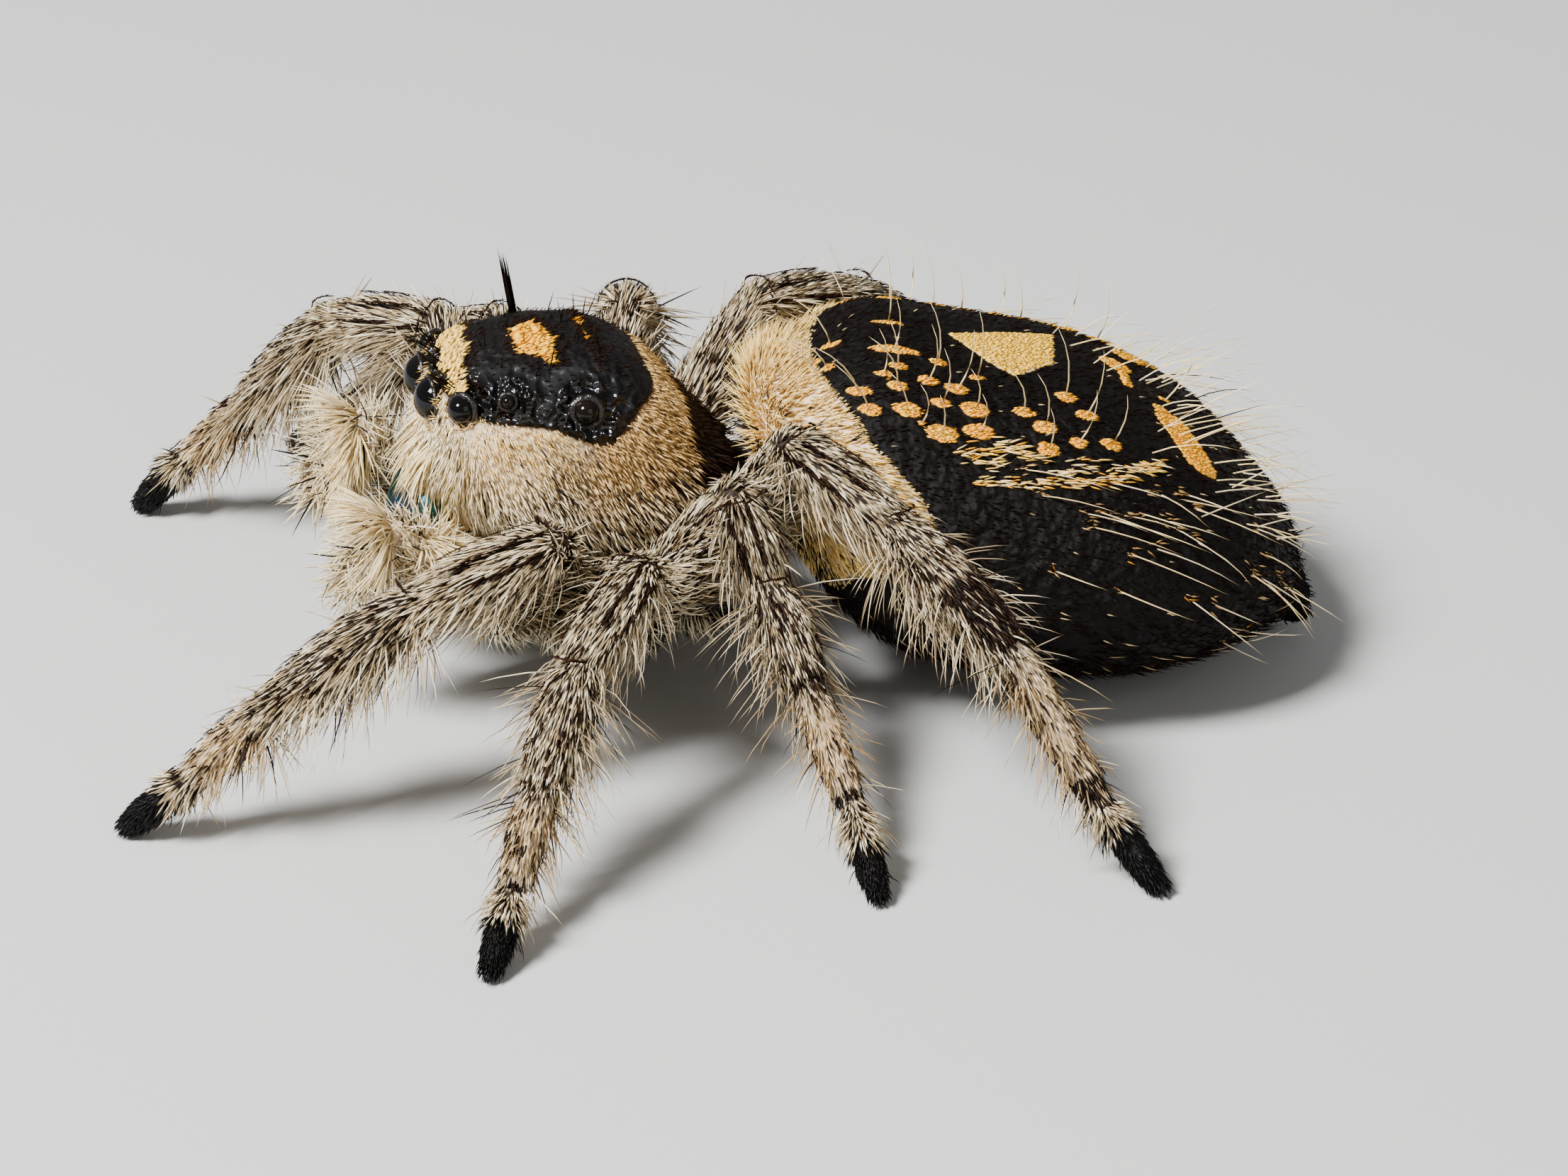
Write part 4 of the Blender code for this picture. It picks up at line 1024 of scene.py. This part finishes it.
def growCap():
    # bright hair on the brow band and the spots, fine black hair between them
    density = np.where(triangleMark > -0.12, headHair["bandDensity"], headHair["capDensity"])
    roots, normals, part = sow(triangleOnCap, density, 0.04)
    x, y, _ = roots.T
    count = len(roots)
    lies = jitter(np.column_stack((0.2 * x, np.ones(count), np.full(count, 0.1))), 0.3)
    dark, orange, cream, _ = markings(roots + lies * 0.05, part)
    noise = chance.normal(0, 0.018, count) + 0.03 * np.sin(x * 11 + y * 3)
    isMark = np.maximum(cream, orange) + noise > 0.0
    isMark = isMark & ((y < -2.75) | (chance.random(count) < 0.4))
    keep = isMark | (chance.random(count) < headHair["capDensity"] / headHair["bandDensity"] * 3)
    roots, normals, lies, isMark, dark, orange, cream = (
        v[keep] for v in (roots, normals, lies, isMark, dark, orange + noise, cream + noise))
    count, y = len(roots), roots[:, 1]
    length = np.where(isMark, headHair["bandLength"], headHair["capLength"]) * chance.uniform(0.7, 1.3, count)
    rise = np.where(isMark, 14.0, 30.0) + chance.normal(0, 6, count)
    onSpot = isMark & (y > -3.9)
    isFaint = onSpot & (y > -2.75)
    isGold = onSpot & ~isFaint & (chance.random(count) < 0.45)
    growHair("coat_cap", "cap", shortHair, roots, normals, lies, length,
             np.where(isMark, headHair["bandWidth"], headHair["capWidth"]) * chance.uniform(0.8, 1.2, count),
             rise, 10.0,
             (dark, np.where(isGold, -0.1, orange), np.where(isGold, 0.1, cream),
              np.where(onSpot, 1.0, 0.75)),
             chance.uniform(0.5, 1.0, count) - 0.9 * isFaint, headUnwrap(roots), 1.0)


for side, sign in sides.items():
    growHeadSide(side, sign)
growCap()


abdomenHair = {
    "velvetDensity": 120, "velvetLength": 0.12, "velvetWidth": 0.028, "bandDensity": 440, "bandLength": 0.28,
    "bandWidth": 0.034, "bandCentre": 2.9, "markDensity": 1500, "markLength": 0.075, "markWidth": 0.042,
}
isAbdomen = np.isin(triangleKind, ("abdomen", "spinneret"))


def abdomenUnwrap(points):
    back, _, angle, _ = abdomenPlace(points)
    return roundUnwrap((back + 0.45) / 8.0, (angle + 180) / 360)


def growVelvet():
    roots, normals, part = sow(isAbdomen & (triangleEdge < 0.1), abdomenHair["velvetDensity"])
    low = step(-roots[:, 2], -2.4, -1.0) * (kinds[part] == "abdomen")
    lies = backward(len(roots), -0.25, 0.2)
    length = abdomenHair["velvetLength"] * chance.uniform(0.7, 1.4, len(roots)) * (1 + 1.6 * low)
    _, orange, cream, _ = markings(roots + lies * (length * 0.8)[:, None], part)
    bare = np.maximum(orange, cream) < -0.02
    roots, normals, lies, length = (v[bare] for v in (roots, normals, lies, length))
    count = len(roots)
    isPale = chance.random(count) < 0.02
    growHair("coat_abdomen_velvet", "black_coat", shortHair, roots, normals, lies, length,
             abdomenHair["velvetWidth"] * chance.uniform(0.8, 1.2, count), 16 + chance.normal(0, 6, count),
             8.0, (np.where(isPale, -0.4, 0.4), -0.4, -0.4, 0.3),
             chance.uniform(0.3, 1.0, count) * np.where(isPale, 0.2, 1.0), abdomenUnwrap(roots))


def growBand():
    # the band's hair parts on the brow of the abdomen: forward and out in front, back behind it
    roots, normals, part = sow(isAbdomen & (triangleEdge > -0.02), abdomenHair["bandDensity"])
    count = len(roots)
    back, _, angle, edge = abdomenPlace(roots)
    out = unit(roots - (abdomenOrigin + upward * abdomenHair["bandCentre"]))
    ahead = step(-back, -0.30, 0.15)
    lies = jitter(out * ahead[:, None] + (abdomenAhead - upward * 0.35) * (1 - ahead)[:, None], 0.2)
    length = abdomenHair["bandLength"] * chance.uniform(0.6, 1.3, count) * (1 + 0.5 * ahead)
    length = np.minimum(length, np.maximum(edge + 0.05, 0.08))
    rise = 16 + 24 * ahead + chance.normal(0, 7, count)
    dark, _, cream, _ = markings(roots, part)
    isBlack = chance.random(count) < 0.03 + 0.55 * (1 - step(-np.abs(angle), -112, -90))
    noise = chance.normal(0, 0.03, count)
    growHair("coat_abdomen_band", "coat", shortHair, roots, normals, lies, length,
             abdomenHair["bandWidth"] * chance.uniform(0.8, 1.2, count), rise, 14.0,
             (np.where(isBlack, 0.4, dark + noise), -0.4, np.where(isBlack, -0.4, cream + noise + 0.03),
              0.60),
             chance.uniform(0.4, 1.0, count), abdomenUnwrap(roots), 1.0)


def growSpots():
    onMark = isAbdomen & (triangleMiddles[:, 2] > 1.3) & (triangleEdge < 0.05) & (triangleMark > -0.10)
    roots, normals, part = sow(onMark, abdomenHair["markDensity"])
    count = len(roots)
    lies = backward(count, 0.0, 0.14)
    length = abdomenHair["markLength"] * chance.uniform(0.8, 1.5, count)
    _, orange, cream, _ = markings(roots + lies * (length * 0.5)[:, None], part)
    inside = np.maximum(orange, cream) + chance.normal(0, 0.006, count) > 0.0
    inside = inside & (abdomenPlace(roots)[3] <= 0.0)
    roots, normals, lies, length, cream = (v[inside] for v in (roots, normals, lies, length, cream))
    count = len(roots)
    isYellow = chance.random(count) < 0.30
    growHair("coat_abdomen_spots", "coat", shortHair, roots, normals, lies, length,
             abdomenHair["markWidth"] * chance.uniform(0.8, 1.2, count), 14 + chance.normal(0, 5, count), 8.0,
             (-0.4, np.where((cream > 0.0) | isYellow, -0.1, 0.4), np.where(isYellow, 0.4, cream), 1.0),
             chance.uniform(0.85, 1.0, count), abdomenUnwrap(roots), 1.0)


def growPalps():
    roots, normals, part = sow(triangleKind == "palp", palpHair["density"])
    count = len(roots)
    along, around = limbPlace(roots, part)
    isBlack = chance.random(count) < palpHair["blackShare"]
    length = chance.uniform(*palpHair["length"], count)
    half = np.array([0.5 * (part.get("palp") == "left") for part in parts])[part]
    u = 0.01 + 0.48 * np.clip((segments[part] + np.clip(along, 0, 1)) / 2, 0, 1) + half
    growHair("coat_palps", "coat", longHair, roots, normals, jitter(ways[part], 0.75), length,
             palpHair["width"] * chance.uniform(0.8, 1.2, count), 34 + chance.normal(0, 16, count),
             chance.uniform(-25, 70, count),
             (np.where(isBlack, 0.4, -0.4), -0.5, np.where(isBlack | (chance.random(count) < 0.6), -0.4, 0.1),
              0.0),
             chance.uniform(0.4, 1.0, count),
             np.column_stack((u, 0.02 + 0.96 * (around + math.pi) / (2 * math.pi))))


palpHair = {"density": 300, "length": (0.25, 0.75), "width": 0.032, "blackShare": 0.10}
growVelvet()
growBand()
growSpots()
growPalps()


# Long hairs, each set singly

skinTree = BVHTree.FromPolygons([Vector(p) for p in skinPoints], [tuple(t) for t in triangleCorners])
setaeLook = {
    "fan": 72, "fanFront": 14, "flankPairs": 28, "rearPairs": 9, "length": (0.70, 1.45), "width": 0.026,
    "spotLength": (0.75, 1.15), "spotWidth": 0.032, "tuft": 7, "tuftWidth": 0.034, "rearLimit": 0.3,
}


def onSkin(points):
    hits = [skinTree.find_nearest(Vector(p)) for p in points]
    return np.array([h[0] for h in hits]), np.array([h[1] for h in hits])


def onAbdomen(back, angle):
    # the skin's surface at a distance back and an angle round from the top
    stations, hits = abdomenShape["stations"], []
    rear = stations[-1][0] - setaeLook["rearLimit"]  # no hair is set on the blunt end
    for b, a in zip(np.minimum(back, rear), np.radians(angle)):
        _, top, bottom = between(stations, b)
        middle = abdomenOrigin + abdomenAhead * b + upward * ((top + bottom) / 2)
        way = abdomenAside * math.sin(a) + upward * math.cos(a)
        hits.append(skinTree.ray_cast(Vector(middle + way * 6), Vector(-way)))
    return np.array([h[0] for h in hits]), np.array([h[1] for h in hits])


def plainMarks(count, darkShare, creamShare):
    isDark = chance.random(count) < darkShare
    isCream = ~isDark & (chance.random(count) < creamShare)
    return np.where(isDark, 0.4, -0.4), -0.4, np.where(isCream, 0.4, -0.4), 0.2


def growSetae():
    # tall curved hairs from the orange spots
    back, angle = np.array(abdomenMarks["cups"]).T[:2]
    roots, normals = onAbdomen(back, angle)
    count = len(roots)
    growHair("setae_spots", "coat", bristleHair, roots, normals, np.tile(-abdomenAhead, (count, 1)),
             chance.uniform(*setaeLook["spotLength"], count), setaeLook["spotWidth"],
             chance.uniform(84, 106, count),
             chance.uniform(22, 58, count), plainMarks(count, 0.0, 1.0), chance.uniform(0.8, 1.0, count),
             abdomenUnwrap(roots), 1.0)
    # long pale hairs: a fan that stands up at the rear, and others swept down the flanks
    signs = (1, -1)
    places = [(chance.uniform(4.7, 6.75), chance.uniform(-80, 70), 1) for _ in range(setaeLook["fan"])]
    places += [(chance.uniform(3.7, 5.0), chance.uniform(-60, 0), 1) for _ in range(setaeLook["fanFront"])]
    places += [(chance.uniform(2.7, 6.3), sign * chance.uniform(57, 88), 0)
               for _ in range(setaeLook["flankPairs"]) for sign in signs]
    places += [(chance.uniform(5.4, 6.8), chance.uniform(70, 110) * sign, 0)
               for _ in range(setaeLook["rearPairs"]) for sign in signs]
    back, angle, isFan = np.array(places).T
    roots, normals = onAbdomen(back, angle)
    count = len(roots)
    lies = backward(count, -0.55, 0.14)
    lies = np.where(isFan[:, None] > 0, backward(count, 0.20, 0.20), lies)
    length = chance.uniform(*setaeLook["length"], count) * (1 - 0.25 * step(back, 5.9, 6.8))
    rise = np.where(isFan > 0, chance.uniform(30, 66, count), chance.uniform(14, 34, count))
    growHair("setae_flanks", "coat", bristleHair, roots, normals, lies, length, setaeLook["width"], rise,
             chance.uniform(4, 40, count), plainMarks(count, 0.03, 0.6), chance.uniform(0.4, 1.0, count),
             abdomenUnwrap(roots), 1.0)
    # a little brown tuft stands at the root of each long hair of the flank
    own = np.repeat(np.flatnonzero(isFan < 1), setaeLook["tuft"])
    count = len(own)
    roots, normals = onAbdomen(back[own] + chance.normal(0, 0.045, count),
                               angle[own] + chance.normal(0, 1.0, count))
    lies = backward(count, -0.35, 0.25)
    isGold, isBrown = chance.random(count) < 0.05, chance.random(count) < 0.55
    growHair("tufts_flanks", "coat", shortHair, roots, normals, lies, chance.uniform(0.10, 0.20, count),
             setaeLook["tuftWidth"], chance.uniform(10, 24, count), 8.0,
             (np.where(isBrown, 0.4, -0.4), np.where(isGold, 0.1, -0.4), -0.4, 1.0),
             chance.uniform(-0.6, 0.3, count),
             abdomenUnwrap(roots))
    # short bright hairs scattered in broken lines along the flanks
    back, angle = [], []
    for back0, angle0, back1, angle1, wide, count in abdomenMarks["streaks"]:
        along = chance.random(count)
        back.append(back0 + (back1 - back0) * along + chance.normal(0, 0.03, count))
        angle.append(angle0 + (angle1 - angle0) * along + chance.normal(0, wide * 16, count))
    roots, normals = onAbdomen(np.concatenate(back), np.concatenate(angle))
    count = len(roots)
    lies = backward(count, -0.15, 0.22)
    isGold = chance.random(count) < 0.25
    growHair("streak_hairs", "coat", longHair, roots, normals, lies, chance.uniform(0.14, 0.30, count),
             chance.uniform(0.030, 0.048, count), chance.uniform(8, 24, count), 10.0,
             (-0.4, np.where(isGold, 0.1, -0.4), 0.1, chance.uniform(0.2, 1.0, count)),
             chance.uniform(0.6, 1.0, count), abdomenUnwrap(roots))


growSetae()

bristleLook = {"tuft": (-0.95, -3.20, 5.2), "tuftWay": (-0.1, -0.14), "tuftHairs": 12, "tall": 1.02,
               "brow": 13, "top": 10, "widths": (0.036, 0.024), "longFrom": 0.56}


def growBristles():
    # stiff black bristles: a tall tuft on the far side of the cap, and a few over the front eyes
    spots, aims, sizes = [], [], []
    x, y, z = bristleLook["tuft"]
    wayX, wayY = bristleLook["tuftWay"]
    for i in range(bristleLook["tuftHairs"]):
        spots.append((x + chance.normal(0, 0.02), y + chance.normal(0, 0.02), z))
        aims.append((wayX - chance.normal(0, 0.012), wayY + chance.normal(0, 0.012), 1.0))
        sizes.append(chance.uniform(0.65, 0.98) if i else bristleLook["tall"])
    for sign in sides.values():
        for _ in range(bristleLook["brow"]):
            spots.append((sign * chance.uniform(0.1, 1.25), -4.52 + chance.normal(0, 0.07), 4.9))
            aims.append((sign * 0.3 + chance.normal(0, 0.2), -1.0, chance.uniform(0.3, 1.2)))
            sizes.append(chance.uniform(0.30, 0.55))
        for _ in range(bristleLook["top"]):
            spots.append((sign * chance.uniform(0.2, 1.3), chance.uniform(-3.9, -2.0), 5.2))
            aims.append((sign * 0.2 + chance.normal(0, 0.2), chance.normal(0.1, 0.4), 1.0))
            sizes.append(chance.uniform(0.22, 0.40))
    roots, normals = onSkin(spots)
    aims, sizes = unit(np.array(aims)), np.array(sizes)
    isLong = sizes > bristleLook["longFrom"]
    rise = np.degrees(np.arcsin(np.clip(dot(aims, normals), -0.2, 0.98)))
    growHair("bristles_head", "black_coat", bristleHair, roots, normals, aims, sizes,
             np.where(isLong, *bristleLook["widths"]), rise, np.where(isLong, 16.0, -8.0),
             plainMarks(len(roots), 1.0, 0.0), 1.0, headUnwrap(roots))


growBristles()

moustacheLook = {"hairs": 2300, "sideShare": 0.35, "length": (0.45, 1.00), "width": 0.036}


def growMoustache():
    # pale hair hanging before the fangs' bases, and beside them
    count = moustacheLook["hairs"]
    x, z = chance.uniform(-1.45, 1.45, count), chance.uniform(2.60, 3.80, count)
    atSide = chance.random(count) < moustacheLook["sideShare"]
    x = np.where(atSide, np.sign(x) * chance.uniform(1.0, 1.5, count), x)
    z = np.where(atSide, chance.uniform(2.45, 3.10, count), z)
    roots, normals = onSkin(np.column_stack((x, np.where(atSide, -4.55, -5.2), z)))
    lies = np.column_stack((np.where(atSide, -0.15, 0.25) * x, np.where(atSide, -0.45, -0.9),
                            np.full(count, -1.0)))
    growHair("coat_moustache", "coat", longHair, roots, normals, jitter(lies, 0.18),
             chance.uniform(*moustacheLook["length"], count),
             moustacheLook["width"] * chance.uniform(0.8, 1.2, count),
             chance.uniform(22, 55, count), 28.0, plainMarks(count, 0.02, 0.5),
             chance.uniform(0.6, 1.0, count),
             headUnwrap(roots), 1.0)


growMoustache()

lashLook = {"hairs": 90, "gap": (0.05, 0.13), "length": (0.10, 0.19), "width": 0.026, "tan": 0.8}


def growLashes():
    # short tan hairs that close round the front eyes and lie over their edges
    spots, aims = [], []
    for kind, side, centre, radius in eyes[:4]:
        axis = Vector((sides[side] * (0.05 if kind.endswith("median") else 0.75), -1.0, 0.05)).normalized()
        across = Vector((0.0, 0.0, 1.0)).cross(axis).normalized()
        for _ in range(lashLook["hairs"]):
            turn = chance.uniform(0, 2 * math.pi)
            way = across * math.cos(turn) + axis.cross(across) * math.sin(turn)
            spots.append(Vector(centre) + way * (radius + chance.uniform(*lashLook["gap"]))
                         + axis * 0.4 * radius)
            aims.append(-way * chance.uniform(0.1, 0.6) + axis.cross(way) * chance.normal(0, 0.6)
                        + axis * 0.3)
    roots, normals = onSkin(spots)
    count = len(roots)
    growHair("coat_lashes", "coat", shortHair, roots, normals, np.array(aims), *lashValues(count),
             headUnwrap(roots))


def lashValues(count):
    marks = plainMarks(count, 0.12, 0.3)[:3]
    return (chance.uniform(*lashLook["length"], count), lashLook["width"], chance.uniform(20, 50, count),
            20.0, (*marks, lashLook["tan"]), chance.uniform(0.0, 1.0, count))


growLashes()


# Eyes

eyeLook = {
    "sides": 40, "rings": 24, "rimSides": 8, "rimSteps": 32, "rimOut": 0.015, "rimIn": 0.03,
    "rimWidth": {"anterior_median": 0.028, "anterior_lateral": 0.042, "posterior_median": 0.035,
                 "posterior_lateral": 0.060},
    "facing": {"anterior_median": (0.05, -1.0, 0.0), "anterior_lateral": (0.75, -0.75, 0.1),
               "posterior_median": (1.0, -0.12, 0.30), "posterior_lateral": (1.0, -0.12, 0.30)},
    "black": (0.002, 0.002, 0.002), "brown": (0.012, 0.006, 0.003), "rimBrown": (0.014, 0.008, 0.005),
}


def eyeFinish():
    finish = Finish("eyeLens", Specular_IOR_Level=0.22, Coat_Roughness=0.02, IOR=1.45)
    cloud = finish.noise(1800.0, 1.0)
    colour = finish.mix(finish.clamp(cloud * 2.4 - 1.1), eyeLook["black"], eyeLook["brown"])
    return finish.give(Base_Color=colour, Roughness=0.04 + cloud * 0.02, Coat_Weight=0.08)


def eyeRimFinish():
    finish = Finish("eyeRim")
    grain = finish.noise(9000.0, 3.0)
    return finish.give(Base_Color=finish.mix(grain, eyeLook["black"], eyeLook["rimBrown"]),
                       Roughness=0.16 + grain * 0.2, Normal=finish.bump(grain, 0.9, 0.00006))


def makeRim(rims, kind, centre, radius, axis):
    # a rounded ring where the lens leaves the skin
    out = (skinTree.find_nearest(Vector(centre) + axis * radius)[0] - Vector(centre)).dot(axis)
    depth = min(max(out, 0.1 * radius), 0.55 * radius)
    ringRadius = math.sqrt(max(radius**2 - depth**2, 0.0))
    already = set(rims.verts)
    profile = bmesh.ops.create_circle(rims, segments=eyeLook["rimSides"],
                                      radius=eyeLook["rimWidth"][kind])["verts"]
    bmesh.ops.rotate(rims, verts=profile, cent=(0, 0, 0), matrix=Matrix.Rotation(math.pi / 2, 3, "X"))
    bmesh.ops.translate(rims, verts=profile, vec=(ringRadius + eyeLook["rimOut"], 0,
                                                  depth - eyeLook["rimIn"]))
    edges = list({e for v in profile for e in v.link_edges})
    bmesh.ops.spin(rims, geom=edges, cent=(0, 0, 0), axis=(0, 0, 1), angle=2 * math.pi,
                   steps=eyeLook["rimSteps"], use_merge=True)
    ring = [v for v in rims.verts if v not in already]
    bmesh.ops.rotate(rims, verts=ring, cent=(0, 0, 0), matrix=axis.to_track_quat("Z", "Y").to_matrix())
    bmesh.ops.translate(rims, verts=ring, vec=centre)


eyeMaterial, rims = eyeFinish(), bmesh.new()
for kind, side, centre, radius in eyes:
    lens = ball(eyeLook["sides"], eyeLook["rings"])
    bmesh.ops.scale(lens, verts=lens.verts, vec=(radius, radius, radius))
    bmesh.ops.translate(lens, verts=lens.verts, vec=centre)
    eye = toFrame(meshOf(f"eye_{kind}_{side}_lens", lens), eyeMaterial)
    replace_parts(eye, f"eye_{kind}_{side}")
    x, y, z = eyeLook["facing"][kind]
    makeRim(rims, kind, centre, radius, Vector((sides[side] * x, y, z)).normalized())
bmesh.ops.recalc_face_normals(rims, faces=rims.faces)
toFrame(meshOf("eye_rims", rims), eyeRimFinish())
print("eyes made")


# Fangs' bases

cheliceraLook = {
    "top": (0.42, -4.50, 2.98), "tip": (0.36, -4.80, 1.52), "ends": (0.1, 0.05),
    "radii": ((0.0, 0.34), (0.3, 0.385), (0.7, 0.345), (1.0, 0.25)),
    "stops": ((0.3, (0.008, 0.020, 0.080)), (0.5, (0.010, 0.070, 0.100)), (0.7, (0.020, 0.110, 0.060))),
}


def cheliceraFinish():
    finish = Finish("cheliceraShell", Specular_IOR_Level=0.7)
    flow, pits = finish.noise(2600.0, 2.0), finish.pits(15000.0)
    colour = finish.node("ValToRGB", {"stops": cheliceraLook["stops"]}, {"Fac": flow})
    return finish.give(Base_Color=colour, Metallic=0.7 + flow * 0.2, Roughness=0.22 + pits * 0.2,
                       Normal=finish.bump(pits, 0.5, 0.00001))


cheliceraMaterial = cheliceraFinish()
for side, sign in sides.items():
    top, tip = (Vector((sign * x, y, z)) for x, y, z in (cheliceraLook["top"], cheliceraLook["tip"]))
    shell = meshOf("chelicera_shell_" + side,
                   limb(top, tip, cheliceraLook["radii"], 0.0, cheliceraLook["ends"]))
    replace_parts(toFrame(shell, cheliceraMaterial), "chelicera_" + side)
print("fangs' bases made")

toFrame(skin, skinMaterial)
fleshNodes = [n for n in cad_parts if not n.startswith(("eye_", "chelicera_"))]
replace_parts(skin, *fleshNodes)


# Studio

studioLook = {
    "floor": (0.52, 0.52, 0.51), "floorSize": 0.6, "sky": 0.28, "skyColour": (0.90, 0.90, 0.92, 1.0),
    "lamps": {"keyLight": ((0.035, -0.08, 0.115), 0.04, 0.67),
              "fillLight": ((0.10, 0.05, 0.06), 0.08, 0.034)},
    "aim": (0.0, 0.0, 0.002),
}
cameraLook = {"place": (60.053, -14.745, 32.363), "heading": 76.0, "down": 27.0, "lens": 120.30}


def floorFinish():
    finish = Finish("studioFloor", Roughness=0.85)
    floor = studioLook["floor"]
    return finish.give(Base_Color=finish.mix(finish.noise(60.0, 2.0), tuple(c * 0.97 for c in floor), floor))


def areaLight(name, place, size, energy):
    light = bpy.data.lights.new(name, "AREA")
    light.size, light.energy = size, energy
    lamp = pieceOf(name, light)
    lamp.location = place
    lamp.rotation_euler = (Vector(studioLook["aim"]) - Vector(place)).to_track_quat("-Z", "Y").to_euler()


def setCamera():
    camera = bpy.data.cameras.new("photoCamera")
    camera.lens, camera.sensor_width = cameraLook["lens"], 36.0
    camera.clip_start, camera.clip_end = 0.001, 10.0
    eye = pieceOf("photoCamera", camera)
    turn, down = math.radians(cameraLook["heading"]), math.radians(cameraLook["down"])
    right = Vector((math.cos(turn), math.sin(turn), 0.0))
    ahead = Vector((-math.sin(turn) * math.cos(down), math.cos(turn) * math.cos(down), -math.sin(down)))
    matrix = Matrix((right, right.cross(ahead), -ahead)).transposed().to_4x4()
    matrix.translation = (Vector(cameraLook["place"]) + Vector(waist)) * 0.001
    eye.matrix_world = matrix
    bpy.context.scene.camera = eye


floorSheet = bmesh.new()
bmesh.ops.create_grid(floorSheet, x_segments=1, y_segments=1, size=studioLook["floorSize"])
floorPiece = meshOf("studio_floor", floorSheet)
floorPiece.data.materials.append(floorFinish())
for name, values in studioLook["lamps"].items():
    areaLight(name, *values)
world = bpy.data.worlds.new("studioWorld")
world.use_nodes = True
sky = world.node_tree.nodes["Background"].inputs
sky["Color"].default_value, sky["Strength"].default_value = studioLook["skyColour"], studioLook["sky"]
bpy.context.scene.world = world
setCamera()
print("studio set")
